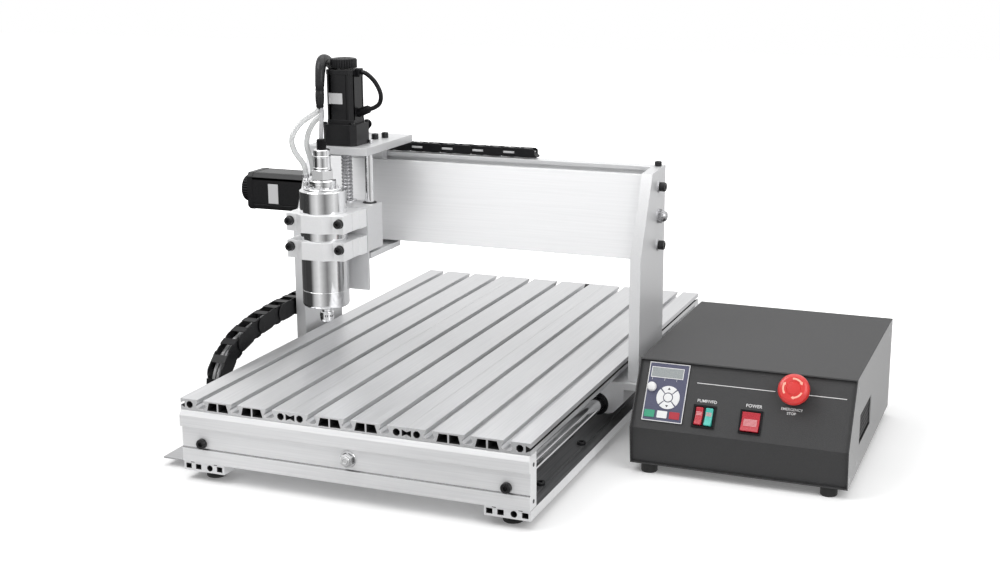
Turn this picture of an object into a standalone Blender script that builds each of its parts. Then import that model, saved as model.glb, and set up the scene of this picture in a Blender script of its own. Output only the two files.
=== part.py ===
"""Desktop gantry router with a water-cooled spindle, and its separate control box.

X runs along the gantry, Y from the front panel to the rear one, Z up. Sizes in the tables are
millimetres in a working frame whose X = 0 is the bed's middle and Y = 0 the bed's front edge;
SHIFT_X and SHIFT_Y move that frame so the whole object is centred on the origin.
"""
import math

import bpy
from mathutils import Matrix, Vector
from mathutils.geometry import tessellate_polygon

MM = 0.001
SHIFT_X, SHIFT_Y = -90.05, -430.25

# Bed and base
BED_W, BED_L, BED_T = 480.0, 771.0, 15.0
BED_Z = 95.0                    # underside of the bed
SLAT_W = BED_W / 3
SLOTS = (-50.0, 0.0, 50.0)      # T-slot centres across one extrusion
SLOT_MOUTH, SLOT_WIDE = 9.0, 15.0
PANEL_T = 20.0
RAIL_W, RAIL_Z0, RAIL_Z1 = 60.0, 12.5, 25.3
ROD_X, ROD_Z, ROD_R = BED_W / 2 - 30.0, 51.0, 10.0
Y_SCREW_Z, SCREW_R = 59.0, 8.0
FOOT_R, FOOT_X = 13.0, BED_W / 2 - 32.0
CHAIN_W, CHAIN_X = 24.0, BED_W / 2 + 40.0   # long drag chain: width, and distance from the middle

# Gantry
SIDE_GAP, SIDE_T = 11.0, 15.0
SIDE_IN, SIDE_OUT = BED_W / 2 + SIDE_GAP, BED_W / 2 + SIDE_GAP + SIDE_T
SIDE_Y0, SIDE_Y1 = 348.0, 463.0
SIDE_Z0, SIDE_TOP = 85.3, 370.0
SLANT_Z, SLANT_Y = 257.0, 398.0
FRAME_Y0, FRAME_Y1 = 340.0, 462.0
X_ROD_Y, X_ROD_Z1, X_ROD_Z0, X_SCREW_Z = 430.0, 344.0, 262.0, 303.0
BEAM_Z0, BEAM_Z1 = 254.0, 362.5
BEAM_Y0, BEAM_SLOPE, BEAM_T = 363.0, 0.44, 7.0
MOTOR_A, X_MOTOR_L = 57.0, 109.0

# Head
HEAD_X, HEAD_Y = -161.0, 323.0
HEAD_HALF = 48.0
TOP_Y0, TOP_Y1, TOP_Z0, TOP_Z1 = 292.0, 440.0, 386.0, 397.0
LOW_Y1, LOW_Z0, LOW_Z1 = 393.0, 240.0, 248.0
Z_ROD_DX, Z_ROD_R = 35.0, 6.0
SLIDE_Z0, SLIDE_Z1, PLATE_Z0 = 251.5, 315.0, 196.0
SLIDE_Y0, SPINDLE_R = 289.0, 32.5
SPINDLE_Y = SLIDE_Y0 - SPINDLE_R - 5.5
SPINDLE_Z0, SPINDLE_Z1 = 180.0, 344.0
CLAMP_LOW, CLAMP_UP, CLAMP_H = 250.5, 288.0, 25.0

# Control box
BOX_X0, BOX_W, BOX_Y1, BOX_H = BED_W / 2 + 50.3, 281.3, 592.2, 144.1
BOX_Z0, BOX_LOW_Y, BOX_BEND_Y, BOX_BEND_Z, BOX_TOP_Y = 13.0, 233.3, 228.5, 63.3, 275.7
RECESS, SHEET = 4.0, 1.6
VENT_Y0, VENT_Y1, VENT_Z0, VENT_Z1 = 311.0, 405.6, 46.8, 86.7

SPLIT = 0.3                     # gap left between pieces that touch

for old in list(bpy.data.objects):
    bpy.data.objects.remove(old, do_unlink=True)

MATERIALS = {
    "anodised": ((0.80, 0.81, 0.83), 0.85, 0.34),
    "chrome": ((0.86, 0.87, 0.88), 1.0, 0.10),
    "steel": ((0.62, 0.63, 0.65), 1.0, 0.28),
    "black_plastic": ((0.025, 0.026, 0.028), 0.0, 0.45),
    "motor_black": ((0.02, 0.02, 0.021), 0.3, 0.38),
    "rubber": ((0.015, 0.015, 0.015), 0.0, 0.75),
    "clear_hose": ((0.86, 0.87, 0.86), 0.0, 0.15),
    "grey_cable": ((0.35, 0.35, 0.36), 0.0, 0.5),
    "charcoal": ((0.06, 0.06, 0.062), 0.1, 0.55),
    "red": ((0.65, 0.03, 0.03), 0.0, 0.35),
    "green": ((0.05, 0.42, 0.16), 0.0, 0.35),
    "white": ((0.85, 0.85, 0.84), 0.0, 0.4),
    "keypad": ((0.10, 0.11, 0.20), 0.0, 0.5),
}


def material(name, kind):
    colour, metal, rough = MATERIALS[kind]
    made = bpy.data.materials.new(name)
    made.use_nodes = True
    shader = made.node_tree.nodes["Principled BSDF"]
    shader.inputs["Base Color"].default_value = (*colour, 1)
    shader.inputs["Metallic"].default_value = metal
    shader.inputs["Roughness"].default_value = rough
    return made


def obj_from(name, points, faces, kind, smooth=False):
    """One mesh object from working-frame points in mm."""
    mesh = bpy.data.meshes.new(name)
    shift = Vector((SHIFT_X, SHIFT_Y, 0))
    mesh.from_pydata([tuple((Vector(p) + shift) * MM) for p in points], [], faces)
    mesh.update()
    made = bpy.data.objects.new(name, mesh)
    bpy.context.scene.collection.objects.link(made)
    mesh.materials.append(material(name, kind))
    if smooth:
        for face in mesh.polygons:
            face.use_smooth = len(face.vertices) == 4
    return made


def area(loop):
    return sum(a[0] * b[1] - b[0] * a[1] for a, b in zip(loop, loop[1:] + loop[:1])) / 2


PLACE = {
    "x": lambda u, v, w: (w, u, v),     # profile in YZ
    "y": lambda u, v, w: (u, w, v),     # profile in XZ
    "z": lambda u, v, w: (u, v, w),     # profile in XY
}


def extrude(name, axis, outline, lo, hi, kind, holes=(), smooth=False):
    """A profile with holes drawn along an axis: a closed mesh with no Boolean."""
    loops = [list(outline) if area(outline) > 0 else list(outline)[::-1]]
    loops += [list(h) if area(list(h)) < 0 else list(h)[::-1] for h in holes]
    flat = [p for loop in loops for p in loop]
    count = len(flat)
    place = PLACE[axis]
    points = [place(u, v, lo) for u, v in flat] + [place(u, v, hi) for u, v in flat]
    faces = []
    for a, b, c in tessellate_polygon([[Vector((u, v, 0)) for u, v in loop] for loop in loops]):
        p, q, r = flat[a], flat[b], flat[c]
        if (q[0] - p[0]) * (r[1] - p[1]) - (r[0] - p[0]) * (q[1] - p[1]) < 0:
            b, c = c, b
        faces += [(a + count, b + count, c + count), (c, b, a)]
    start = 0
    for loop in loops:
        size = len(loop)
        for i in range(size):
            j = (i + 1) % size
            faces.append((start + i, start + j, start + j + count, start + i + count))
        start += size
    if axis == "y":
        faces = [f[::-1] for f in faces]
    return obj_from(name, points, faces, kind, smooth)


def circle(u, v, r, n=32, turn=0.0):
    return [(u + r * math.cos(math.tau * i / n + turn), v + r * math.sin(math.tau * i / n + turn))
            for i in range(n)]


def rect(u0, v0, u1, v1):
    return [(u0, v0), (u1, v0), (u1, v1), (u0, v1)]


def chamfered(u, v, a, c):
    h = a / 2
    return [(u - h + c, v - h), (u + h - c, v - h), (u + h, v - h + c), (u + h, v + h - c),
            (u + h - c, v + h), (u - h + c, v + h), (u - h, v + h - c), (u - h, v - h + c)]


def ribbed(u, v, r, depth, ribs):
    """Outline of a finger knob: shallow flutes round a circle."""
    out = []
    for i in range(ribs):
        for frac, radius in ((0.0, r), (0.55, r), (0.65, r - depth), (0.90, r - depth)):
            angle = math.tau * (i + frac) / ribs
            out.append((u + radius * math.cos(angle), v + radius * math.sin(angle)))
    return out


def lathe(name, centre, axis, profile, kind, n=32):
    """Profile of (radius, height) turned about a line through centre along axis."""
    axis = Vector(axis).normalized()
    side = axis.orthogonal().normalized()
    other = axis.cross(side)
    points, faces, rings = [], [], []
    for r, h in profile:
        base = Vector(centre) + axis * h
        if r < 1e-6:
            rings.append([len(points)])
            points.append(base)
            continue
        rings.append(list(range(len(points), len(points) + n)))
        points += [base + (side * math.cos(math.tau * i / n) + other * math.sin(math.tau * i / n)) * r
                   for i in range(n)]
    for low, high in zip(rings, rings[1:]):
        for i in range(n):
            j = (i + 1) % n
            if len(low) == 1:
                faces.append((low[0], high[j], high[i]))
            elif len(high) == 1:
                faces.append((low[i], low[j], high[0]))
            else:
                faces.append((low[i], low[j], high[j], high[i]))
    if len(rings[0]) > 1:
        faces.append(tuple(rings[0][::-1]))
    if len(rings[-1]) > 1:
        faces.append(tuple(rings[-1]))
    return obj_from(name, points, faces, kind, True)


def smooth_path(points, steps=6):
    """Catmull-Rom through the points."""
    pts = [Vector(p) for p in points]
    pts = [pts[0] * 2 - pts[1]] + pts + [pts[-1] * 2 - pts[-2]]
    out = []
    for i in range(1, len(pts) - 2):
        a, b, c, d = pts[i - 1:i + 3]
        for k in range(steps):
            t = k / steps
            out.append(0.5 * ((2 * b) + (c - a) * t + (2 * a - 5 * b + 4 * c - d) * t * t
                              + (3 * b - a - 3 * c + d) * t ** 3))
    out.append(pts[-2])
    return out


def sweep(name, path, section, kind, up=None, smooth=True):
    """A section of (side, up) offsets carried along a path; up fixes its roll."""
    points, faces = [], []
    size = len(section)
    normal = None
    for i, at in enumerate(path):
        ahead = (path[min(i + 1, len(path) - 1)] - path[max(i - 1, 0)]).normalized()
        if up is not None:
            side = Vector(up)
            normal = side.cross(ahead).normalized()
        else:
            if normal is None:
                normal = ahead.orthogonal().normalized()
            normal = (normal - ahead * normal.dot(ahead)).normalized()
            side = ahead.cross(normal)
        points += [at + side * s + normal * t for s, t in section]
    for i in range(len(path) - 1):
        for k in range(size):
            m = (k + 1) % size
            faces.append((i * size + k, i * size + m, (i + 1) * size + m, (i + 1) * size + k))
    faces.append(tuple(range(size))[::-1])
    faces.append(tuple(range((len(path) - 1) * size, len(path) * size)))
    made = obj_from(name, points, faces, kind, smooth)
    return made


def fix_normals(made):
    """Turn the mesh outward when its signed volume is negative."""
    mesh = made.data
    volume = 0.0
    for face in mesh.polygons:
        v = [mesh.vertices[i].co for i in face.vertices]
        for a, b in zip(v[1:], v[2:]):
            volume += v[0].dot(a.cross(b))
    if volume < 0:
        mesh.flip_normals()
    return made


def boolean(made, cutter, operation):
    cutter.hide_render = True
    cutter.display_type = "WIRE"
    mod = made.modifiers.new(cutter.name, "BOOLEAN")
    mod.operation = operation
    mod.solver = "EXACT"
    mod.object = cutter


# ---------------------------------------------------------------- bed and base
def slat_profile(x0):
    """One bed extrusion: a slab with three T-slots and closed chambers between them."""
    z0, z1 = BED_Z, BED_Z + BED_T
    mid = x0 + SLAT_W / 2
    m, w = SLOT_MOUTH / 2, SLOT_WIDE / 2
    top = [(x0 + 0.15, z1)]
    for s in SLOTS:
        c = mid + s
        top += [(c - m, z1), (c - m, z1 - 3.0), (c - w, z1 - 8.5), (c - w + 3, z1 - 11.5),
                (c + w - 3, z1 - 11.5), (c + w, z1 - 8.5), (c + m, z1 - 3.0), (c + m, z1)]
    mid_z = (z0 + z1) / 2
    notch = ((0.0, 1.5), (6.0, 4.2), (6.0, -4.2), (0.0, -1.5))   # undercut in each long side
    top += ([(x0 + SLAT_W - 0.15, z1)] + [(x0 + SLAT_W - 0.15 - d, mid_z + v) for d, v in notch]
            + [(x0 + SLAT_W - 0.15, z0), (x0 + 0.15, z0)]
            + [(x0 + 0.15 + d, mid_z + v) for d, v in notch[::-1]])
    holes = []
    for a, b in ((-50, 0), (0, 50)):
        c = mid + (a + b) / 2
        for q0, q1, lean0, lean1 in ((-15.5, -1.2, 3.0, 0.0), (1.2, 15.5, 0.0, -3.0)):
            holes.append([(c + q0, z0 + 2.2), (c + q1, z0 + 2.2), (c + q1 + lean1, z1 - 2.2),
                          (c + q0 + lean0, z1 - 2.2)])
    for sign in (-1, 1):
        c = mid + sign * 66.5
        holes.append(circle(c, z0 + BED_T / 2, 4.8, 8, math.pi / 8))
    return top[::-1], holes


for i in range(3):
    outline, holes = slat_profile(-BED_W / 2 + i * SLAT_W)
    extrude(f"bed_slat_{i + 1}", "y", outline, 0, BED_L, "anodised", holes)

# Front panel: stepped face, thicker band at the top and a ledge at the foot
front = [(PANEL_T, RAIL_Z1 + SPLIT), (-2.0, RAIL_Z1 + SPLIT), (-2.0, 44.0), (0.0, 45.5),
         (0.0, 72.5), (-4.5, 73.5), (-4.5, 88.5), (-1.0, BED_Z - SPLIT), (PANEL_T, BED_Z - SPLIT)]
front_panel = extrude("front_panel", "x", front, -BED_W / 2, BED_W / 2, "anodised")
boolean(front_panel, extrude("cut_front_bearing", "y", circle(0, Y_SCREW_Z, 8.6), -20, 40,
                             "steel"), "DIFFERENCE")
rear = [(BED_L - y, z) for y, z in front]
rear_panel = extrude("rear_panel", "x", rear, -BED_W / 2, BED_W / 2, "anodised")
boolean(rear_panel, extrude("cut_rear_bearing", "y", circle(0, Y_SCREW_Z, 8.6), BED_L - 40,
                            BED_L + 20, "steel"), "DIFFERENCE")


def rail_profile(sign):
    """Base rail: a flat extrusion with two shallow grooves on top and chambers inside."""
    a, b = sorted((sign * (BED_W / 2 - RAIL_W), sign * BED_W / 2))
    mid = (a + b) / 2
    out = [(a, RAIL_Z0), (b, RAIL_Z0), (b, RAIL_Z1)]
    for c in (17.0, -17.0):
        out += [(mid + c + 2.5, RAIL_Z1), (mid + c + 2.5, RAIL_Z1 - 1.5),
                (mid + c - 2.5, RAIL_Z1 - 1.5), (mid + c - 2.5, RAIL_Z1)]
    out.append((a, RAIL_Z1))
    z = (RAIL_Z0 + RAIL_Z1) / 2
    holes = [rect(mid + c - 4.0, z - 3.4, mid + c + 4.0, z + 3.4) for c in (-23, -8.5)]
    holes += [rect(mid + c - 4.0, z - 3.4, mid + c + 4.0, z + 3.4) for c in (23,)]
    holes.append(circle(mid + 8.5, z, 4.2, 12))
    return out, holes


for side, sign in (("left", -1), ("right", 1)):
    outline, holes = rail_profile(sign)
    extrude(f"base_rail_{side}", "y", outline, 0.5, BED_L - 0.5, "anodised", holes)
    lathe(f"y_rod_{side}", (sign * ROD_X, PANEL_T + SPLIT, ROD_Z), (0, 1, 0),
          [(ROD_R, 0), (ROD_R, BED_L - 2 * PANEL_T - 2 * SPLIT)], "chrome")
    for end, y in (("front", 26.0), ("rear", BED_L - 26.0)):
        lathe(f"foot_{end}_{side}", (sign * FOOT_X, y, 0), (0, 0, 1),
              [(FOOT_R - 1, 0), (FOOT_R, 1.5), (FOOT_R, 10.5), (FOOT_R - 2, RAIL_Z0 - SPLIT)],
              "rubber", 24)

# Thin tray on the left that carries the long drag chain's lower run, notched round the foot
tray_out, tray_in = -CHAIN_X - CHAIN_W / 2 - 2.0, -BED_W / 2 + RAIL_W - 3.0
notch_x = -FOOT_X - FOOT_R - 1.5
tray = [(tray_out, 32), (notch_x, 32), (notch_x, 41), (tray_in, 41), (tray_in, 640),
        (tray_out, 640)]
extrude("chain_tray", "z", tray, RAIL_Z0 - SPLIT - 2.0, RAIL_Z0 - SPLIT, "steel")

lathe("y_screw", (0, -9.5, Y_SCREW_Z), (0, 1, 0),
      [(7.0, 0), (8.2, 1.2), (8.2, 26.0), (6.0, 26.0), (6.0, 38.0), (SCREW_R, 38.0),
       (SCREW_R, BED_L - 30.0), (6.0, BED_L - 30.0), (6.0, BED_L + 9.2)], "steel", 24)
extrude("y_motor", "y", chamfered(0, Y_SCREW_Z + 1, MOTOR_A, 4.0), BED_L + 4.5 + SPLIT, BED_L + 84,
        "motor_black")
extrude("y_knob", "y", ribbed(0, Y_SCREW_Z, 19.5, 1.2, 24), BED_L + 84.5, BED_L + 99,
        "black_plastic")

CHAIN = [(-CHAIN_X, y, z) for y, z in (
    (398, 143.5), (330, 143.5), (268, 140), (214, 131), (176, 116), (154, 97), (147.5, 76),
    (152, 55), (166, 38), (190, 28), (225, 25.9), (280, 25.9), (330, 25.9))]
chain_box = rect(-CHAIN_W / 2, -13.3, CHAIN_W / 2, 13.3)
fix_normals(sweep("y_drag_chain", smooth_path(CHAIN, 5), chain_box, "black_plastic", (1, 0, 0),
                  False))

# ---------------------------------------------------------------- gantry
side = [(SIDE_Y0, SIDE_Z0), (SIDE_Y1, SIDE_Z0), (SIDE_Y1, SIDE_TOP), (SLANT_Y, SIDE_TOP - 3.5),
        (SIDE_Y0, SLANT_Z)]
for name, a, b, hole in (("gantry_side_left", -SIDE_OUT, -SIDE_IN, 7.0),
                         ("gantry_side_right", SIDE_IN, SIDE_OUT, 7.0)):
    extrude(name, "x", side, a, b, "anodised", [circle(X_ROD_Y, X_SCREW_Z, hole, 24)])

# Cross bar under the bed with its bearing blocks and the ball nut's block, one bolted frame
bar_z0, bar_z1 = 75.0, 85.0
pod = ((-37.5, bar_z0), (-37.5, 56.0), (-22.5, 40.0), (-16.0, 38.0), (16.0, 38.0), (22.5, 40.0),
       (37.5, 56.0), (37.5, bar_z0))           # bearing block round a guide rod, about its axis
frame = ([(-SIDE_OUT, bar_z0)] + [(u - ROD_X, v) for u, v in pod]
         + [(-25, bar_z0), (-25, 41.0), (25, 41.0), (25, bar_z0)]
         + [(u + ROD_X, v) for u, v in pod] + [(SIDE_OUT, bar_z0), (SIDE_OUT, bar_z1),
                                               (-SIDE_OUT, bar_z1)])
extrude("gantry_foot_frame", "y", frame, FRAME_Y0, FRAME_Y1, "anodised",
        [circle(-ROD_X, ROD_Z, ROD_R + 0.4), circle(ROD_X, ROD_Z, ROD_R + 0.4),
         circle(0, Y_SCREW_Z, SCREW_R + 0.4)])


def beam_y(z):
    return BEAM_Y0 + (z - BEAM_Z0) * BEAM_SLOPE


beam = [(beam_y(BEAM_Z0) + 14, BEAM_Z0), (beam_y(BEAM_Z0), BEAM_Z0),
        (beam_y(BEAM_Z1), BEAM_Z1), (beam_y(BEAM_Z1) + BEAM_T, BEAM_Z1),
        (beam_y(BEAM_Z0 + 4) + BEAM_T, BEAM_Z0 + 4), (beam_y(BEAM_Z0) + 14, BEAM_Z0 + 4)]
extrude("beam_front", "x", beam, -SIDE_IN + SPLIT, SIDE_IN - SPLIT, "anodised")
back = [(450, BEAM_Z0), (462, BEAM_Z0), (462, SIDE_TOP - 1), (444, SIDE_TOP - 1), (444, 363),
        (450, 363)]
extrude("beam_rear", "x", back, -SIDE_IN + SPLIT, SIDE_IN - SPLIT, "anodised")
for name, z in (("x_rod_top", X_ROD_Z1), ("x_rod_bottom", X_ROD_Z0)):
    lathe(name, (-SIDE_IN + SPLIT, X_ROD_Y, z), (1, 0, 0),
          [(ROD_R, 0), (ROD_R, 2 * (SIDE_IN - SPLIT))], "chrome")
lathe("x_screw", (-SIDE_OUT + 0.2, X_ROD_Y, X_SCREW_Z), (1, 0, 0),
      [(6.0, 0), (6.0, 22.0), (SCREW_R, 22.0), (SCREW_R, 2 * SIDE_OUT - 24.0),
       (6.0, 2 * SIDE_OUT - 24.0), (6.0, 2 * SIDE_OUT + 1.0), (8.8, 2 * SIDE_OUT + 1.0),
       (8.8, 2 * SIDE_OUT + 11.0), (7.4, 2 * SIDE_OUT + 12.5)], "steel", 24)
extrude("x_motor", "x", chamfered(X_ROD_Y, X_SCREW_Z, MOTOR_A, 6.0), -SIDE_OUT - X_MOTOR_L,
        -SIDE_OUT - SPLIT,
        "motor_black")
extrude("x_knob", "x", ribbed(X_ROD_Y, X_SCREW_Z, 20.5, 1.2, 24), -SIDE_OUT - X_MOTOR_L - 16.5,
        -SIDE_OUT - X_MOTOR_L - 0.5,
        "black_plastic")

x_chain = [Vector((x, 454, z)) for x, z in (
    (79, 377.5), (0, 377.5), (-90, 377.5), (-172, 377.5), (-196, 377.8), (-206, 382), (-211, 391.5),
    (-206, 401), (-198, 404.8), (-189, 405.5))]
fix_normals(sweep("x_drag_chain", x_chain, [(-8, -6.8), (8, -6.8), (8, 6.8), (-8, 6.8)],
                  "black_plastic", (0, 1, 0), False))

# ---------------------------------------------------------------- carriage on the beam
head_l, head_r = HEAD_X - HEAD_HALF, HEAD_X + HEAD_HALF
block = [(385, LOW_Z1 + SPLIT), (446, LOW_Z1 + SPLIT), (446, 358), (419.5, 358), (385, 282)]
x_block = extrude("x_block", "x", block, head_l, head_r, "anodised",
                  [circle(X_ROD_Y, X_ROD_Z1, ROD_R + 0.4), circle(X_ROD_Y, X_ROD_Z0, ROD_R + 0.4),
                   circle(X_ROD_Y, X_SCREW_Z, SCREW_R + 0.4)])
boolean(x_block, extrude("neck", "x", rect(425, 356, 439, TOP_Z0 - SPLIT), head_l, -155,
                         "anodised"), "UNION")

extrude("z_top_plate", "z", rect(head_l, TOP_Y0, head_r, TOP_Y1), TOP_Z0, TOP_Z1, "anodised",
        [circle(HEAD_X, HEAD_Y, SCREW_R + 0.5, 24)])
extrude("z_bottom_plate", "z", rect(head_l, TOP_Y0 + 4, head_r, LOW_Y1), LOW_Z0, LOW_Z1,
        "anodised")
for side_name, dx in (("left", -Z_ROD_DX), ("right", Z_ROD_DX)):
    lathe(f"z_rod_{side_name}", (HEAD_X + dx, HEAD_Y, LOW_Z1 + SPLIT), (0, 0, 1),
          [(Z_ROD_R, 0), (Z_ROD_R, TOP_Z0 - LOW_Z1 - 2 * SPLIT)], "chrome", 24)
lathe("z_screw", (HEAD_X, HEAD_Y, LOW_Z1 + SPLIT), (0, 0, 1),
      [(5.0, 0), (5.0, 8), (SCREW_R, 8), (SCREW_R, TOP_Z1 - LOW_Z1 - 2 * SPLIT)], "steel", 24)

z_motor = extrude("z_motor", "z", chamfered(HEAD_X + 1, HEAD_Y, 52, 7.0), TOP_Z1 + SPLIT, 427,
                  "motor_black")
boolean(z_motor, extrude("z_motor_upper", "z", chamfered(HEAD_X + 1, HEAD_Y, 42, 5.0), 420, 502,
                         "motor_black"), "UNION")
extrude("z_knob", "z", ribbed(HEAD_X, HEAD_Y, 18.6, 1.2, 24), 503.5, 517.0, "black_plastic")

SLEEVE = ((-181, 287, 449), (-181, 288, 474), (-181.5, 291, 494), (-184, 299, 508),
          (-188, 313, 515), (-190, 330, 512), (-189, 345, 499), (-187, 356, 476),
          (-186, 367, 450), (-187, 386, 429), (-187, 412, 416), (-186, 436, 411))
fix_normals(sweep("cable_sleeve", smooth_path(SLEEVE, 4), circle(0, 0, 7.2, 12), "black_plastic"))
LOOP = ((-138.3, 322, 498), (-126, 321, 497), (-112, 320, 484), (-103, 320, 466),
        (-108, 320, 452), (-122, 321, 446), (-138.3, 322, 444))
fix_normals(sweep("motor_cable", smooth_path(LOOP, 4), circle(0, 0, 3.2, 10), "black_plastic"))

# ---------------------------------------------------------------- spindle slide
rod_holes = [circle(HEAD_X - Z_ROD_DX, HEAD_Y, Z_ROD_R + 0.35, 24),
             circle(HEAD_X + Z_ROD_DX, HEAD_Y, Z_ROD_R + 0.35, 24),
             circle(HEAD_X, HEAD_Y, SCREW_R + 0.4, 24)]
z_slide = extrude("z_slide", "z", rect(head_l, SLIDE_Y0, head_r, 335), SLIDE_Z0, SLIDE_Z1, "anodised",
                  rod_holes)
boolean(z_slide, extrude("slide_plate", "z", rect(head_l, SLIDE_Y0, head_r, SLIDE_Y0 + 3.6), PLATE_Z0,
                         SLIDE_Z0 + 5, "anodised"), "UNION")


def arc(cx, cy, r, a0, a1, n=16):
    return [(cx + r * math.cos(math.radians(a0 + (a1 - a0) * i / n)),
             cy + r * math.sin(math.radians(a0 + (a1 - a0) * i / n))) for i in range(n + 1)]


bore = SPINDLE_R + SPLIT
for name, z in (("lower", CLAMP_LOW), ("upper", CLAMP_UP)):
    cy = SPINDLE_Y
    gap = 0.4
    dip = math.degrees(math.asin(gap / bore))
    half, ear, back = SPINDLE_R + 11.5, SPINDLE_R - 5.5, SPINDLE_R + 14.5
    rear_half = ([(HEAD_X + half, cy + gap), (HEAD_X + half, cy + 18), (HEAD_X + back, cy + 20),
                  (HEAD_X + back, SLIDE_Y0 - SPLIT), (HEAD_X - back, SLIDE_Y0 - SPLIT),
                  (HEAD_X - back, cy + 20), (HEAD_X - half, cy + 18), (HEAD_X - half, cy + gap)]
                 + arc(HEAD_X, cy, bore, 180 - dip, dip))
    extrude(f"clamp_{name}_rear", "z", rear_half, z, z + CLAMP_H, "anodised")
    nose = SPINDLE_R + 3.5
    front_half = ([(HEAD_X - half, cy - gap), (HEAD_X - half, cy - ear),
                   (HEAD_X - ear - 1, cy - ear), (HEAD_X - 16, cy - nose),
                   (HEAD_X + 16, cy - nose), (HEAD_X + ear + 1, cy - ear),
                   (HEAD_X + half, cy - ear), (HEAD_X + half, cy - gap)]
                  + arc(HEAD_X, cy, bore, -dip, -180 + dip))
    extrude(f"clamp_{name}_front", "z", front_half, z, z + CLAMP_H, "anodised")

lathe("spindle_body", (HEAD_X, SPINDLE_Y, 0), (0, 0, 1),
      [(9.0, SPINDLE_Z0), (SPINDLE_R - 4.0, SPINDLE_Z0), (SPINDLE_R - 1.0, SPINDLE_Z0 + 1.6),
       (SPINDLE_R, SPINDLE_Z0 + 4.0), (SPINDLE_R, SPINDLE_Z1 - 3), (SPINDLE_R - 1, SPINDLE_Z1 - 0.8),
       (27.0, SPINDLE_Z1 - 0.8), (27.0, 346.0), (26.0, 347.0)], "chrome", 48)
lathe("spindle_plug", (HEAD_X, SPINDLE_Y, 0), (0, 0, 1),
      [(18.7, 347.3), (18.7, 356.5), (17.5, 358.0), (14.4, 358.0), (14.4, 371.5), (12.4, 372.5),
       (12.4, 390.0), (11.6, 391.0), (11.6, 398.5), (6.2, 399.0), (6.0, 413.0)], "chrome", 24)
FITTINGS = ((-23.0, -5.0), (-20.5, 11.5))
for i, (dx, dy) in enumerate(FITTINGS, 1):
    lathe(f"water_fitting_{i}", (HEAD_X + dx, SPINDLE_Y + dy, 347.3), (0, 0, 1),
          [(3.4, 0), (3.4, 3), (4.2, 3), (4.2, 9), (3.0, 10), (3.0, 18)], "chrome", 16)
HOSES = (((-184, 246, 366.9), (-187, 245, 379), (-200, 246, 395), (-206, 250, 412),
          (-200, 262, 430), (-186, 280, 443.5)),
         ((-181.5, 262.5, 366.9), (-183.5, 262.5, 380), (-190, 263, 398), (-191, 268, 415),
          (-185, 274, 431), (-176.5, 284, 441)))
for i, run in enumerate(HOSES, 1):
    fix_normals(sweep(f"water_hose_{i}", smooth_path(run, 5), circle(0, 0, 3.6, 10),
                      "clear_hose"))
CABLE = ((-161, 251, 413.5), (-161, 252, 424), (-163.5, 259, 436), (-171, 276, 444))
fix_normals(sweep("spindle_cable", smooth_path(CABLE, 5), circle(0, 0, 2.9, 10), "grey_cable"))
lathe("rotor", (HEAD_X, SPINDLE_Y, 0), (0, 0, 1),
      [(5.0, 157.0), (8.2, 157.0), (9.5, 159.5), (9.5, 171.0), (7.0, 172.5), (7.0, SPINDLE_Z0 - 0.4)],
      "steel", 24)

# ---------------------------------------------------------------- control box
slant = Vector((0, BOX_TOP_Y - BOX_BEND_Y, BOX_H - BOX_BEND_Z))
SLANT_LEN = slant.length
UP = slant.normalized()
OUT = Vector((0, -UP.z, UP.y))


def on_panel(u, v, n=0.0):
    """A point u along the panel, v up its slope and n out of its recessed face."""
    start = Vector((BOX_X0, BOX_BEND_Y, BOX_BEND_Z)) - OUT * RECESS
    return start + Vector((u, 0, 0)) + UP * v + OUT * n


def panel_prism(name, outline, n0, n1, kind):
    """An outline in panel (u, v) raised from n0 to n1."""
    size = len(outline)
    points = [on_panel(u, v, n) for n in (n0, n1) for u, v in outline]
    faces = [tuple(range(size))[::-1], tuple(range(size, 2 * size))]
    faces += [(i, (i + 1) % size, (i + 1) % size + size, i + size) for i in range(size)]
    return fix_normals(obj_from(name, points, faces, kind))


shell = [(BOX_LOW_Y, BOX_Z0), (BOX_Y1, BOX_Z0), (BOX_Y1, BOX_H), (BOX_TOP_Y, BOX_H),
         (BOX_BEND_Y, BOX_BEND_Z)]
box = extrude("control_box", "x", shell, BOX_X0, BOX_X0 + BOX_W, "charcoal")
FACE = on_panel(0, 0)


def recess_y(z, back=0.0):
    """Depth of the recessed panel's face at a height, or of a face behind it."""
    return FACE.y + back / UP.z + (z - FACE.z) * UP.y / UP.z


low_z, high_z = BOX_BEND_Z - 1.0, BOX_H - SHEET
notch = [(BOX_LOW_Y - 30, BOX_Z0 + 2.0), (BOX_LOW_Y + 3.0, BOX_Z0 + 2.0),
         (recess_y(low_z), low_z), (recess_y(high_z), high_z), (BOX_LOW_Y - 30, high_z)]
boolean(box, extrude("cut_panel", "x", notch, BOX_X0 + SHEET, BOX_X0 + BOX_W - SHEET, "charcoal"),
        "DIFFERENCE")
hollow = [(BOX_LOW_Y + 3.0 + SHEET, BOX_Z0 + SHEET), (BOX_Y1 - SHEET, BOX_Z0 + SHEET),
          (BOX_Y1 - SHEET, high_z), (recess_y(high_z, SHEET), high_z),
          (recess_y(low_z, SHEET), low_z)]
boolean(box, extrude("cut_inside", "x", hollow, BOX_X0 + SHEET, BOX_X0 + BOX_W - SHEET,
                     "charcoal"), "DIFFERENCE")
boolean(box, extrude("cut_vent", "x", rect(VENT_Y0, VENT_Z0, VENT_Y1, VENT_Z1),
                     BOX_X0 + BOX_W - 5, BOX_X0 + BOX_W + 5, "charcoal"), "DIFFERENCE")
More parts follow.
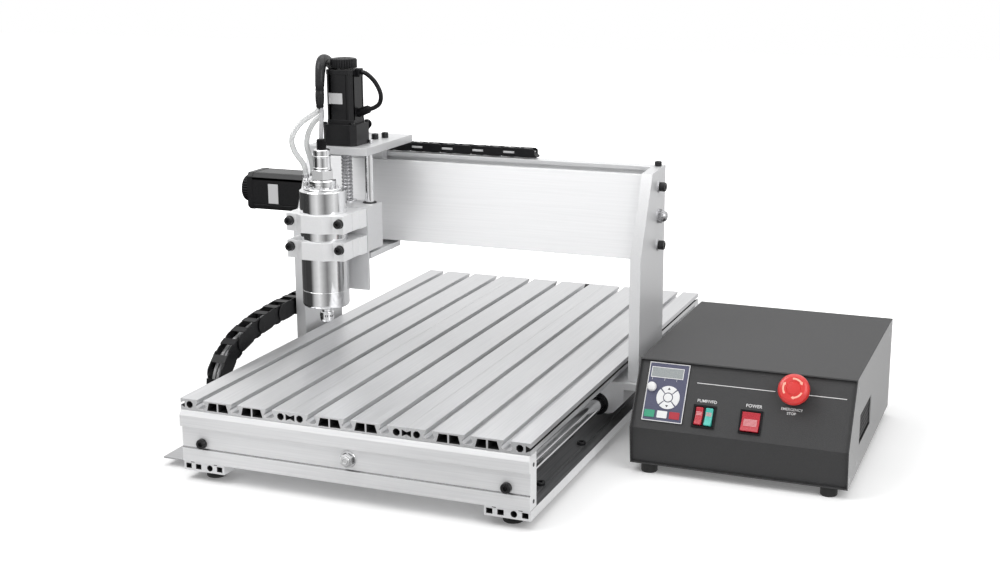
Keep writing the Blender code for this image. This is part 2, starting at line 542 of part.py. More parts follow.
for i, (x, y) in enumerate(((23, 13), (BOX_W - 25, 13), (22, BOX_Y1 - BOX_LOW_Y - 22),
                            (BOX_W - 22, BOX_Y1 - BOX_LOW_Y - 22))):
    boolean(box, lathe(f"box_foot_{i}", (BOX_X0 + x, BOX_LOW_Y + y, 0), (0, 0, 1),
                       [(10, 0), (11, 1.5), (11, BOX_Z0 + 0.8)], "rubber", 20), "UNION")

KEY_U0, KEY_U1, KEY_V0, KEY_V1 = 13.5, 67.0, 12.0, 90.0
panel_prism("keypad", [(KEY_U0, KEY_V0), (KEY_U1, KEY_V0), (KEY_U1, KEY_V1), (KEY_U0, KEY_V1)],
            SPLIT, 1.8, "keypad")


def on_pivot(made, at):
    """Put an object's origin at a point without moving its mesh."""
    at = (at + Vector((SHIFT_X, SHIFT_Y, 0))) * MM
    made.data.transform(Matrix.Translation(-at))
    made.location = at


knob_at = on_panel(20.9, 56.5, 1.8 + SPLIT)
on_pivot(lathe("keypad_knob", knob_at, OUT, [(6.0, 0), (6.0, 5.0), (5.2, 6.2)], "white", 24),
         knob_at)


# Emergency stop: a collar on the panel, and a mushroom button that pushes down into it
STOP_U, STOP_V, STOP_R, COLLAR_R, STEM_R, STOP_TRAVEL = 205.8, 70.0, 20.0, 14.5, 9.4, 4.0
boolean(box, lathe("stop_collar", on_panel(STOP_U, STOP_V, -1.0), OUT,
                   [(COLLAR_R, 0), (COLLAR_R, 7.5), (COLLAR_R - 1, 8.0)], "charcoal", 28), "UNION")
boolean(box, lathe("cut_stop_bore", on_panel(STOP_U, STOP_V, -0.5), OUT,
                   [(STEM_R + 0.6, 0), (STEM_R + 0.6, 20)], "charcoal", 28), "DIFFERENCE")
stop_at = on_panel(STOP_U, STOP_V, STOP_TRAVEL + SPLIT)
on_pivot(lathe("estop_button", stop_at, OUT,
               [(STEM_R, 0), (STEM_R, 7.5), (STOP_R - 1, 8.0), (STOP_R, 10.0),
                (STOP_R, 15.5), (STOP_R - 1.5, 18.5), (STOP_R - 6, 20.5)], "red", 32), stop_at)


def rocker(name, u, v, width, length, kind):
    """A rocker cap in its own cut-out in the panel, rocked with its lower end out."""
    half = length / 2
    frame = [(u - width / 2 - 0.5, v - half - 0.7), (u + width / 2 + 0.5, v - half - 0.7),
             (u + width / 2 + 0.5, v + half + 0.7), (u - width / 2 - 0.5, v + half + 0.7)]
    boolean(box, panel_prism(f"cut_{name}", frame, -8, 3, "charcoal"), "DIFFERENCE")
    side_view = [(-half, -2.5), (half, -2.5), (half, 2.8), (0.0, 1.6), (-half, 6.0)]
    points = [on_panel(u + du, v + dv, n) for du in (-width / 2, width / 2)
              for dv, n in side_view]
    size = len(side_view)
    faces = [tuple(range(size))[::-1], tuple(range(size, 2 * size))]
    faces += [(i, (i + 1) % size, (i + 1) % size + size, i + size) for i in range(size)]
    on_pivot(fix_normals(obj_from(name, points, faces, kind)), on_panel(u, v, 0))


rocker("rocker_red", 87.7, 25.3, 10.4, 24.0, "red")
rocker("rocker_green", 100.5, 25.3, 10.4, 24.0, "green")
rocker("power_rocker", 154.6, 25.2, 23.4, 25.6, "red")
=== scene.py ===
"""Looks of the desktop CNC router: finishes, fasteners, drag chains, cables and the control panel.

Places are millimetres in a working frame: X = 0 is the bed's middle, Y = 0 its front edge, Z = 0
the floor. at() turns them into the model's own frame.
"""
import math

import bmesh
import bpy
from mathutils import Matrix, Vector


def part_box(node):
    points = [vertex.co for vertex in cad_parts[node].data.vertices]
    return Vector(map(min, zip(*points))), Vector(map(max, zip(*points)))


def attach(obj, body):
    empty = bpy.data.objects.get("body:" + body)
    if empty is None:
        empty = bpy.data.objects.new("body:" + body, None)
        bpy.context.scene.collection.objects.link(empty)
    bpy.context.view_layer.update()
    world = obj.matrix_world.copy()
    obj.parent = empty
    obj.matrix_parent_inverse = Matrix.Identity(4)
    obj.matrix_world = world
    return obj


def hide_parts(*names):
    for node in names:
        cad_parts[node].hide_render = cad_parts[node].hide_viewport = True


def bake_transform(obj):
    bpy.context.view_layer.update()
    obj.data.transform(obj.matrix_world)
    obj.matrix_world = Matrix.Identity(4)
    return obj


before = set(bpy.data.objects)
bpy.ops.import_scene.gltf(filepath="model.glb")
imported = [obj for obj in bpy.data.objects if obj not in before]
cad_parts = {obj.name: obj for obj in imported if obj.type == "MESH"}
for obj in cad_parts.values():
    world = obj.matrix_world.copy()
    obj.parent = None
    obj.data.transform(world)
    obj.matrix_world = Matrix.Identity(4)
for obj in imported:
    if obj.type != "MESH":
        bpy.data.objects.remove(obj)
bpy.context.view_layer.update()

MM = 0.001
bed_low, bed_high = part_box("bed_slat_2")
ORIGIN = Vector(((bed_low.x + bed_high.x) / 2, bed_low.y, 0))


def at(x, y, z):
    return ORIGIN + Vector((x, y, z)) * MM


def low(node):
    """Lowest corner of a CAD node in the working frame."""
    return (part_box(node)[0] - ORIGIN) / MM


def high(node):
    return (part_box(node)[1] - ORIGIN) / MM


def middle(node):
    return (low(node) + high(node)) / 2


# Lines that several pieces share: the guide rods, the gantry's sides and the drag chains
Y_ROD_X = 210
X_ROD_Y, X_RODS_Z = 430, (344, 262)
SIDE_PLATE_X = 258.5
Y_CHAIN_X, X_CHAIN_Y = -280, 454


# ------------------------------------------------------------------ camera, light and floor
camera = bpy.data.objects.new("camera", bpy.data.cameras.new("camera"))
bpy.context.scene.collection.objects.link(camera)
camera.location = at(818.6, -1525.7, 699.8)
camera.rotation_euler = [math.radians(a) for a in (75.998, 0.276, 21.921)]
camera.data.lens = 53.39
camera.data.sensor_width = 36
camera.data.clip_end = 50
bpy.context.scene.camera = camera
bpy.context.scene.view_settings.view_transform = "Standard"


ROOM = 0.58         # strength of the sky as light
FLOOR_LIFT = 0.13   # light added to the floor near the object, where its shadow lies
SHADOW_REACH, WHITE_FROM = 0.55, 1.15   # metres from the middle where the floor starts to fade


def link(tree, source, target):
    tree.links.new(source, target)


def fill(made, values):
    for name, value in values.items():
        made.inputs[name].default_value = value


def new(tree, kind, values=None, operation=None):
    """A shader node with some of its inputs set."""
    made = tree.nodes.new(f"ShaderNode{kind}")
    if operation:
        made.operation = operation
    fill(made, values or {})
    return made


def light_path(tree):
    """The path, and 1 for camera, glossy and transmission rays or 0 for those that light things."""
    path = new(tree, "LightPath")
    first = new(tree, "Math", operation="MAXIMUM")
    second = new(tree, "Math", operation="MAXIMUM")
    link(tree, path.outputs["Is Camera Ray"], first.inputs[0])
    link(tree, path.outputs["Is Glossy Ray"], first.inputs[1])
    link(tree, first.outputs[0], second.inputs[0])
    link(tree, path.outputs["Is Transmission Ray"], second.inputs[1])
    return path, second.outputs[0]


def make_world():
    """White where it is seen, directly or in metal and glass; soft and a little dimmer as light."""
    world = bpy.data.worlds.new("studio")
    bpy.context.scene.world = world
    world.use_nodes = True
    tree = world.node_tree
    tree.nodes.clear()
    out = new(tree, "OutputWorld")
    mix = new(tree, "MixShader")
    seen = new(tree, "Background", {"Color": (1, 1, 1, 1)})
    room = new(tree, "Background", {"Strength": ROOM})
    coord = new(tree, "TexCoord")
    parts = new(tree, "SeparateXYZ")
    half = new(tree, "MapRange", {"From Min": -1})
    ramp = new(tree, "ValToRGB")
    for cell, level in zip(ramp.color_ramp.elements, (0.55, 1.0)):
        cell.color = (level, level, level, 1)
    link(tree, coord.outputs["Generated"], parts.inputs[0])
    link(tree, parts.outputs["X"], half.inputs["Value"])
    link(tree, half.outputs[0], ramp.inputs["Fac"])
    link(tree, ramp.outputs["Color"], room.inputs["Color"])
    link(tree, light_path(tree)[1], mix.inputs[0])
    link(tree, room.outputs[0], mix.inputs[1])
    link(tree, seen.outputs[0], mix.inputs[2])
    link(tree, mix.outputs[0], out.inputs["Surface"])


def lamp(name, place, aim, size, power):
    data = bpy.data.lights.new(name, "AREA")
    data.shape = "RECTANGLE"
    data.size, data.size_y = size
    data.energy = power
    made = bpy.data.objects.new(name, data)
    made.location = at(*place)
    made.rotation_euler = (at(*aim) - at(*place)).to_track_quat("-Z", "Y").to_euler()
    bpy.context.scene.collection.objects.link(made)


# What polished metal finds round the machine on the studio floor: (direction in degrees, level)
STUDIO = ((-180, 0.08), (-168, 0.05), (-136, 0.06), (-118, 0.6), (-94, 0.95), (-74, 0.55),
          (-54, 0.24), (-34, 0.55), (-8, 0.95), (18, 0.55), (44, 0.60), (72, 0.88), (108, 0.60),
          (132, 0.12), (180, 0.05))
STUDIO_AT = (-0.25, -0.18, 0.0)


def make_floor():
    """Pale floor that fades to white away from the object and keeps its shadow."""
    mesh = bpy.data.meshes.new("floor")
    mesh.from_pydata([(-6, -6, 0), (6, -6, 0), (6, 6, 0), (-6, 6, 0)], [], [(0, 1, 2, 3)])
    floor = bpy.data.objects.new("floor", mesh)
    bpy.context.scene.collection.objects.link(floor)
    made = bpy.data.materials.new("floor")
    made.use_nodes = True
    tree = made.node_tree
    shader = tree.nodes["Principled BSDF"]
    fill(shader, {"Base Color": (1, 1, 1, 1), "Roughness": 0.9, "Specular IOR Level": 0.0})
    glow = new(tree, "Emission")
    coord = new(tree, "TexCoord")
    length = new(tree, "VectorMath", operation="LENGTH")
    fade = new(tree, "MapRange", {"From Min": SHADOW_REACH, "From Max": WHITE_FROM,
                                  "To Min": FLOOR_LIFT})
    shown = new(tree, "Math", operation="MULTIPLY")
    lit = new(tree, "AddShader")
    # Strips of light and dark that only reflections see
    away = new(tree, "VectorMath", {1: STUDIO_AT}, "SUBTRACT")
    parts = new(tree, "SeparateXYZ")
    turn = new(tree, "Math", operation="ARCTAN2")
    share = new(tree, "MapRange", {"From Min": -math.pi, "From Max": math.pi})
    ramp = new(tree, "ValToRGB")
    cells = ramp.color_ramp.elements
    for cell, (angle, level) in zip((cells[0], cells[1]), (STUDIO[0], STUDIO[-1])):
        cell.color = (level, level, level, 1)
    for angle, level in STUDIO[1:-1]:
        cells.new((angle + 180) / 360).color = (level, level, level, 1)
    strips = new(tree, "Emission")
    chosen = new(tree, "MixShader")
    out = tree.nodes["Material Output"]
    path, weight = light_path(tree)
    link(tree, coord.outputs["Object"], length.inputs[0])
    link(tree, length.outputs["Value"], fade.inputs["Value"])
    link(tree, fade.outputs[0], shown.inputs[0])
    link(tree, weight, shown.inputs[1])
    link(tree, coord.outputs["Object"], away.inputs[0])
    link(tree, away.outputs[0], parts.inputs[0])
    link(tree, parts.outputs["Y"], turn.inputs[0])
    link(tree, parts.outputs["X"], turn.inputs[1])
    link(tree, turn.outputs[0], share.inputs["Value"])
    link(tree, share.outputs[0], ramp.inputs["Fac"])
    link(tree, ramp.outputs["Color"], strips.inputs["Color"])
    link(tree, shown.outputs[0], glow.inputs["Strength"])
    link(tree, shader.outputs[0], lit.inputs[0])
    link(tree, glow.outputs[0], lit.inputs[1])
    link(tree, path.outputs["Is Glossy Ray"], chosen.inputs[0])
    link(tree, lit.outputs[0], chosen.inputs[1])
    link(tree, strips.outputs[0], chosen.inputs[2])
    link(tree, chosen.outputs[0], out.inputs["Surface"])
    mesh.materials.append(made)


make_world()
make_floor()
lamp("key", (-1100, -600, 2100), (0, 350, 100), (1.6, 1.2), 23)
lamp("fill", (1600, -500, 1200), (100, 350, 150), (1.2, 1.2), 11)
lamp("top", (100, 700, 2100), (50, 350, 0), (2.2, 2.0), 19)


# ------------------------------------------------------------------ materials
FINE, POWDER = (900, 900, 900), (1300, 1300, 1300)
BRUSHED_X, BRUSHED_Y = (9, 500, 500), (500, 9, 500)


def surface(name, light, dark, metal, rough, spread=0.06, bump=0.02, grain=FINE, detail=3.0,
            coat=0.0, clear=0.0, gloss=0.5):
    """A finish whose colour, roughness and relief all vary with one grain of noise."""
    made = bpy.data.materials.new(name)
    made.use_nodes = True
    tree = made.node_tree
    shader = tree.nodes["Principled BSDF"]
    fill(shader, {"Metallic": metal, "Specular IOR Level": gloss, "Coat Weight": coat,
                  "Coat Roughness": 0.15, "Transmission Weight": clear})
    coord = new(tree, "TexCoord")
    scale = new(tree, "Mapping", {"Scale": grain})
    noise = new(tree, "TexNoise", {"Scale": 1.0, "Detail": detail})
    ramp = new(tree, "ValToRGB")
    for cell, place, colour in zip(ramp.color_ramp.elements, (0.32, 0.68), (dark, light)):
        cell.position = place
        cell.color = (*colour, 1)
    spreader = new(tree, "MapRange", {"From Min": 0.3, "From Max": 0.7,
                                      "To Min": max(rough - spread, 0.02),
                                      "To Max": rough + spread})
    relief = new(tree, "Bump", {"Strength": bump, "Distance": 0.001})
    link(tree, coord.outputs["Object"], scale.inputs["Vector"])
    link(tree, scale.outputs[0], noise.inputs["Vector"])
    link(tree, noise.outputs["Fac"], ramp.inputs["Fac"])
    link(tree, noise.outputs["Fac"], spreader.inputs["Value"])
    link(tree, noise.outputs["Fac"], relief.inputs["Height"])
    link(tree, ramp.outputs["Color"], shader.inputs["Base Color"])
    link(tree, spreader.outputs[0], shader.inputs["Roughness"])
    link(tree, relief.outputs[0], shader.inputs["Normal"])
    return made


M = {
    "bed": surface("bed_anodised", (0.70, 0.702, 0.71), (0.62, 0.623, 0.632), 0.8, 0.36, 0.05,
                   0.03, BRUSHED_Y),
    # Base rails: the panels' aluminium made darker, painted shade for the shade under the bed
    "rail": surface("rail_painted_shade", (0.20, 0.201, 0.205), (0.11, 0.111, 0.114), 0.6, 0.42, 0.05,
                    0.03, BRUSHED_Y),
    "panel": surface("panel_anodised", (0.80, 0.802, 0.81), (0.74, 0.743, 0.752), 0.3, 0.45, 0.05,
                     0.03, BRUSHED_X),
    "clamp": surface("clamp_anodised", (0.88, 0.882, 0.89), (0.84, 0.842, 0.85), 0.35, 0.42, 0.04,
                     0.04),
    "tray": surface("tray_sheet", (0.52, 0.52, 0.53), (0.44, 0.44, 0.45), 0.8, 0.38,
                    grain=(9, 500, 9)),
    # Near black for the insides of slots: painted shade of the recesses
    "recess_shade": surface("painted_recess_shade", (0.10, 0.10, 0.102), (0.05, 0.05, 0.052), 0.6, 0.55),
    "beam": surface("beam_anodised", (0.72, 0.722, 0.73), (0.68, 0.683, 0.69), 0.35, 0.50, 0.04,
                    0.03, BRUSHED_X),
    "plate": surface("plate_anodised", (0.73, 0.732, 0.74), (0.68, 0.683, 0.692), 0.5, 0.42, 0.05,
                     0.04),
    "chrome": surface("chrome", (0.80, 0.803, 0.81), (0.76, 0.763, 0.77), 1.0, 0.09, 0.02, 0.004,
                      (120, 120, 120)),
    "thread": surface("rolled_thread", (0.46, 0.46, 0.47), (0.34, 0.34, 0.35), 1.0, 0.26),
    "steel": surface("ground_steel", (0.72, 0.72, 0.73), (0.62, 0.62, 0.64), 1.0, 0.24, 0.06, 0.03,
                     (700, 700, 700)),
    "bolt": surface("black_oxide", (0.03, 0.03, 0.032), (0.012, 0.012, 0.013), 0.3, 0.30,
                    gloss=0.4),
    "zinc": surface("zinc_screw", (0.70, 0.70, 0.71), (0.58, 0.58, 0.60), 1.0, 0.28),
    "motor": surface("motor_black", (0.013, 0.013, 0.014), (0.006, 0.006, 0.007), 0.0, 0.32, 0.05,
                     0.05, gloss=0.3),
    "plastic": surface("black_plastic", (0.008, 0.008, 0.009), (0.004, 0.004, 0.005), 0.0, 0.36,
                       0.06, 0.06, gloss=0.2),
    "rubber": surface("rubber", (0.022, 0.022, 0.022), (0.010, 0.010, 0.010), 0.0, 0.6, 0.08, 0.1,
                      gloss=0.35),
    "braid": surface("braided_sleeve", (0.028, 0.028, 0.029), (0.005, 0.005, 0.006), 0.0, 0.45,
                     0.1, 0.35, (1500, 1500, 1500), 2.0, coat=0.35, gloss=0.1),
    "hose": surface("clear_hose", (0.88, 0.89, 0.89), (0.80, 0.81, 0.81), 0.0, 0.10, 0.04, 0.02,
                    clear=0.45),
    "grey": surface("grey_cable", (0.42, 0.42, 0.43), (0.35, 0.35, 0.36), 0.0, 0.45),
    # The box's sides: the charcoal paint made paler, painted light for the light falling on them
    "side": surface("side_painted_light", (0.36, 0.36, 0.362), (0.30, 0.30, 0.302), 0.0, 0.36, 0.06, 0.25,
                    POWDER, 2.0),
    "charcoal": surface("charcoal_powder", (0.040, 0.040, 0.041), (0.024, 0.024, 0.025), 0.0, 0.56,
                        0.08, 0.35, POWDER, 2.0),
    "face": surface("panel_powder", (0.034, 0.034, 0.035), (0.021, 0.021, 0.022), 0.0, 0.52, 0.08,
                    0.35, POWDER, 2.0),
    "red": surface("red_plastic", (0.72, 0.035, 0.03), (0.62, 0.025, 0.024), 0.0, 0.32, 0.05, 0.02,
                   coat=0.3),
    "rocker": surface("rocker_red", (0.50, 0.012, 0.03), (0.42, 0.01, 0.024), 0.0, 0.26, 0.05,
                      0.02, coat=0.3),
    # Pale pink for the rockers' ribs: painted highlight on the plastic
    "rib_highlight": surface("rocker_rib_painted_highlight", (0.84, 0.42, 0.44), (0.76, 0.34, 0.36), 0.0, 0.3),
    "crimson": surface("crimson_key", (0.45, 0.03, 0.05), (0.38, 0.025, 0.04), 0.0, 0.4),
    "green": surface("green_plastic", (0.07, 0.52, 0.44), (0.05, 0.44, 0.37), 0.0, 0.32, 0.05,
                     0.02, coat=0.3),
    "key_green": surface("green_key", (0.05, 0.36, 0.22), (0.04, 0.31, 0.18), 0.0, 0.4),
    "white": surface("white_plastic", (0.86, 0.86, 0.86), (0.81, 0.81, 0.82), 0.0, 0.38, 0.05,
                     0.02),
    "print": surface("white_print", (0.84, 0.84, 0.84), (0.79, 0.79, 0.79), 0.0, 0.6),
    "arrow": surface("arrow_print", (0.95, 0.50, 0.38), (0.92, 0.45, 0.34), 0.0, 0.45),
    "navy": surface("keypad_film", (0.085, 0.088, 0.15), (0.065, 0.068, 0.12), 0.0, 0.42, 0.05,
                    0.04),
    "screen": surface("display", (0.36, 0.385, 0.385), (0.28, 0.305, 0.31), 0.0, 0.18, 0.04, 0.0,
                      coat=0.5),
    "sticker": surface("bare_sticker", (0.66, 0.66, 0.66), (0.60, 0.60, 0.61), 0.0, 0.5),
    "wire": surface("pale_wire", (0.66, 0.66, 0.66), (0.55, 0.55, 0.56), 0.0, 0.4),
}


# ------------------------------------------------------------------ building helpers
def piece(name, mesh, kind, body, slot, bevel=0.0, stands_for=(), segments=2):
    """Put a mesh in the scene as a piece that rides on a body."""
    made = bpy.data.objects.new(name, mesh)
    bpy.context.scene.collection.objects.link(made)
    mesh.materials.append(M[kind])
    for face in mesh.polygons:
        face.use_smooth = True
    if bevel:
        edge = made.modifiers.new("soft_edges", "BEVEL")
        edge.width = bevel * MM
        edge.segments = segments
        edge.limit_method = "ANGLE"
        edge.angle_limit = math.radians(28)
        edge.harden_normals = True
    else:
        mesh.set_sharp_from_angle(angle=math.radians(35))
    if body:
        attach(made, body)
    if stands_for:
        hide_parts(*stands_for)
    return made


def shell(name, points, faces):
    """A mesh from working-frame points, its normals made to face out."""
    mesh = bpy.data.meshes.new(name)
    mesh.from_pydata([at(*p) for p in points], [], faces)
    mesh.validate()
    form = bmesh.new()
    form.from_mesh(mesh)
    bmesh.ops.recalc_face_normals(form, faces=form.faces)
    form.to_mesh(mesh)
    form.free()
    return mesh


def soften(node, kind, body, slot, bevel=0.5):
    """The CAD solid again, its facets merged and its edges broken."""
    form = bmesh.new()
    form.from_mesh(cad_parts[node].data)
    bmesh.ops.remove_doubles(form, verts=form.verts, dist=1e-6)
    bmesh.ops.dissolve_limit(form, angle_limit=math.radians(0.6), verts=form.verts,
                             edges=form.edges)
    mesh = bpy.data.meshes.new(f"{node}_look")
    form.to_mesh(mesh)
    form.free()
    made = piece(f"{node}_look", mesh, kind, body, slot, bevel, stands_for=(node,))
    flat = made.modifiers.new("flat_faces", "WEIGHTED_NORMAL")
    flat.keep_sharp = True
    return made


def repaint(made, kind, chosen):
    """Give the faces that chosen(centre, normal) picks another material: another finish, or painted
    light or shade.
    """
    made.data.materials.append(M[kind])
    number = len(made.data.materials) - 1
    for cell in made.data.polygons:
        if chosen((cell.center - ORIGIN) / MM, cell.normal):
            cell.material_index = number


def behind(centre, normal, point):
    return (centre - Vector(point)).dot(normal)


PLACE = {"x": lambda u, v, w: (w, u, v), "y": lambda u, v, w: (u, w, v),
         "z": lambda u, v, w: (u, v, w)}


def joined(rows, n, close=False):
    """Faces between rings of n points, capped at both ends or closed on themselves."""
    caps = [] if close else [tuple(range(n)), tuple(range((rows - 1) * n, rows * n))]
    return caps + [(k * n + i, k * n + (i + 1) % n, (k + 1) % rows * n + (i + 1) % n,
                    (k + 1) % rows * n + i)
                   for k in range(rows if close else rows - 1) for i in range(n)]


def prism(axis, outline, lo, hi):
    """Points and faces of an outline drawn along an axis."""
    return [PLACE[axis](u, v, w) for w in (lo, hi) for u, v in outline], joined(2, len(outline))


def block(x0, x1, y0, y1, z0, z1):
    return prism("z", [(x0, y0), (x1, y0), (x1, y1), (x0, y1)], z0, z1)


def merged(parts):
    """Several (points, faces) as one."""
    points, faces = [], []
    for some, cells in parts:
        base = len(points)
        points += some
        faces += [tuple(i + base for i in cell) for cell in cells]
    return points, faces


def frame_of(axis):
    axis = Vector(axis).normalized()
    side = Vector((0, 0, 1)) if abs(axis.z) < 0.9 else Vector((1, 0, 0))
    side = (side - axis * side.dot(axis)).normalized()
    return axis, side, axis.cross(side)


def held(profile, near=0.3, least=2.0):
    """A profile with extra rings beside each corner, so long faces shade flat up to their edge."""
    out = [profile[0]]
    for a, b in zip(profile, profile[1:]):
        span = math.hypot(b[0] - a[0], b[1] - a[1])
        if span > least and len(a) == len(b) and a[2:] == b[2:]:
            for share in (near / span, 1 - near / span):
                out.append((a[0] + (b[0] - a[0]) * share, a[1] + (b[1] - a[1]) * share, *a[2:]))
        out.append(b)
    return out


def spun(centre, axis, heights, n, reach):
    """Rings of n points about a line: ring k at heights[k], reach(k, angle) from the line."""
    axis, side, other = frame_of(axis)
    centre = Vector(centre)
    return [tuple(centre + axis * h + (side * math.cos(a) + other * math.sin(a)) * reach(k, a))
            for k, h in enumerate(heights) for a in [math.tau * i / n for i in range(n)]]


def turned(centre, axis, profile, n=40, close=False):
    """Rings of (radius, height[, sides]) about a line; sides shapes a ring as a polygon."""
    profile = held(profile)

    def reach(k, a):
        r, _, *sides = profile[k]
        if not sides:
            return r
        sector = math.tau / sides[0]
        return r / math.cos((a % sector) - sector / 2)

    points = spun(centre, axis, [ring[1] for ring in profile], n, reach)
    return points, joined(len(profile), n, close)


def rounded(a, c):
    """Square of side a with corners cut by c, about the origin."""
    h = a / 2
    return [(-h + c, -h), (h - c, -h), (h, -h + c), (h, h - c), (h - c, h), (-h + c, h),
            (-h, h - c), (-h, -h + c)]


def curve_through(points, steps):
    """A smooth curve through the points, with this many steps between each two."""
    pts = [Vector(p) for p in points]
    pts = [pts[0] * 2 - pts[1]] + pts + [pts[-1] * 2 - pts[-2]]
    out = []
    for i in range(1, len(pts) - 2):
        a, b, c, d = pts[i - 1:i + 3]
        for k in range(steps):
            t = k / steps
            out.append(0.5 * ((2 * b) + (c - a) * t + (2 * a - 5 * b + 4 * c - d) * t * t
                              + (3 * b - a - 3 * c + d) * t ** 3))
    out.append(pts[-2])
    return out


def tube(path, radius, n):
    """A round tube; radius may be a function of the share of the length run."""
    points, normal = [], None
    last = len(path) - 1
    for i, here in enumerate(path):
        ahead = (path[min(i + 1, last)] - path[max(i - 1, 0)]).normalized()
        normal = ahead.orthogonal() if normal is None else normal
        normal = (normal - ahead * normal.dot(ahead)).normalized()
        side = ahead.cross(normal)
        r = radius(i / last) if callable(radius) else radius
        points += [tuple(here + (normal * math.cos(math.tau * k / n)
                                 + side * math.sin(math.tau * k / n)) * r) for k in range(n)]
    return points, joined(last + 1, n)


def cap_screw(centre, axis, r, h):
    """Socket cap screw head, chamfered, with a hexagon socket."""
    return turned(centre, axis, [(r * 0.97, 0), (r, h * 0.08), (r, h * 0.82), (r * 0.9, h),
                                 (r * 0.56, h), (r * 0.47, h * 0.96, 6), (r * 0.45, h * 0.4, 6),
                                 (r * 0.1, h * 0.36)], 36)


def washer(centre, axis, r0, r1, h):
    return turned(centre, axis, [(r0, 0), (r1, 0), (r1, h * 0.8), (r1 - 0.3, h), (r0, h)], 36,
                  True)


def add(name, parts, kind, body, slot, **more):
    points, faces = merged(parts)
    return piece(name, shell(name, points, faces), kind, body, slot, **more)


def look(node, parts, kind, body, slot, **more):
    """The piece that is seen in place of a CAD node."""
    return add(f"{node}_look", parts, kind, body, slot, stands_for=(node,), **more)


# ------------------------------------------------------------------ bed, base and guides
for i in (1, 2, 3):
    slat = soften(f"bed_slat_{i}", "bed", "base", "anodised", 0.3)
    x0, x1 = low(f"bed_slat_{i}").x, high(f"bed_slat_{i}").x
    z0, z1 = low(f"bed_slat_{i}").z, high(f"bed_slat_{i}").z
    slots = [(x0 + x1) / 2 + dx for dx in (-50, 0, 50)]
    # The hidden walls inside each T-slot are painted dark: painted shade of the undercut
    repaint(slat, "recess_shade", lambda c, n: abs(n.y) < 0.5 and z0 + 1 < c.z < z1 - 1
            and x0 + 0.5 < c.x < x1 - 0.5 and min(abs(c.x - s) for s in slots) > 7.9)
front = soften("front_panel", "panel", "base", "anodised", 0.6)
# The ledge's upward facet takes the darker rail colour: painted shade that dims its highlight
repaint(front, "rail", lambda c, n: n.z > 0.3 and 43 < c.z < 46.5)
soften("rear_panel", "panel", "base", "anodised", 0.6)
for node in ("base_rail_left", "base_rail_right"):
    rail = soften(node, "rail", "base", "anodised", 0.3)
    x0, x1, z0, z1 = low(node).x, high(node).x, low(node).z, high(node).z
    # The hidden walls inside the rail's slot are painted dark: painted shade of the undercut
    repaint(rail, "recess_shade", lambda c, n: abs(n.y) < 0.5 and z0 + 1 < c.z < z1 - 2
            and x0 + 1 < c.x < x1 - 1)
    # Ends and outer faces keep the pale aluminium; the rest of the rail keeps its painted shade
    repaint(rail, "panel", lambda c, n: abs(n.y) > 0.9 or abs(n.x) > 0.9 and (
        c.x > x1 - 0.5 or c.x < x0 + 0.5))
soften("chain_tray", "tray", "base", "steel", 0.3)


def run_of(node, axis):
    """Where a rod starts, and its length."""
    a, b = low(node), high(node)
    length = (b - a).dot(Vector(axis))
    return (a + b) / 2 - Vector(axis) * (length / 2), length


def rod(node, axis, body, r):
    """A ground guide rod with chamfered ends."""
    start, length = run_of(node, axis)
    look(node, [turned(start, axis, [(r - 1, 0), (r, 1), (r, length - 1), (r - 1, length)], 64)],
         "chrome", body, "chrome")


rod("y_rod_left", (0, 1, 0), "base", 10)
rod("y_rod_right", (0, 1, 0), "base", 10)
rod("x_rod_top", (1, 0, 0), "gantry", 10)
rod("x_rod_bottom", (1, 0, 0), "gantry", 10)
rod("z_rod_left", (0, 0, 1), "x_carriage", 6)
rod("z_rod_right", (0, 0, 1), "x_carriage", 6)


def ball_thread(start, axis, r, length, pitch=5.0, n=20, per_turn=8):
    """A ball screw's rolled thread: a helical groove round the shaft."""
    rows = int(length / pitch * per_turn)
    heights = [length * k / rows for k in range(rows + 1)]

    def reach(k, a):
        phase = (heights[k] / pitch - a / math.tau) % 1.0
        return r - 1.3 * math.exp(-((phase - 0.5) / 0.2) ** 2)

    return spun(start, axis, heights, n, reach), joined(rows + 1, n)


def ball_screw(node, axis, body, r, lead_in, lead_out, ends=()):
    """A threaded shaft between two plain journals, and what is fixed on its ends."""
    start, length = run_of(node, axis)
    step = Vector(axis)
    parts = [ball_thread(start + step * lead_in, axis, r, length - lead_in - lead_out),
             turned(start + step * 0.4, axis, [(r * 0.7, 0), (r * 0.75, 0.6),
                                               (r * 0.75, lead_in + 1)]),
             turned(start + step * (length - lead_out - 1), axis,
                    [(r * 0.75, 0), (r * 0.75, lead_out), (r * 0.7, lead_out + 0.6)])]
    look(node, parts + list(ends), "thread", body, "steel")


nose = low("y_screw")
nose_at = Vector((0, nose.y, middle("y_screw").z))
ball_screw("y_screw", (0, 1, 0), "y_screw_shaft", 8, 38, 20, [
    turned(nose_at, (0, 1, 0), [(1.6, 2.4), (2.2, 2.2, 6), (2.4, 0.3, 6), (3.6, 0.0), (4.4, 0.5),
                                (4.4, 2.0), (6.6, 2.2), (7.9, 2.8, 6), (7.9, 7.6, 6), (8.2, 7.9),
                                (8.2, 24), (6, 25)], 48)])
repaint(bpy.data.objects["y_screw_look"], "chrome", lambda c, n: c.y < 0)
x_end = high("x_screw")
nut_at = Vector((x_end.x - 12, middle("x_screw").y, middle("x_screw").z))
ball_screw("x_screw", (1, 0, 0), "x_screw_shaft", 8, 22, 30, [
    turned(nut_at, (1, 0, 0), [(6.5, 0), (8.7, 0.5, 6), (8.7, 5.0, 6), (8.0, 5.6), (7.6, 8.5),
                               (6.2, 10.6), (4.0, 11.7), (1.0, 12.0)], 36)])
ball_screw("z_screw", (0, 0, 1), "z_screw_shaft", 8, 8, 2)

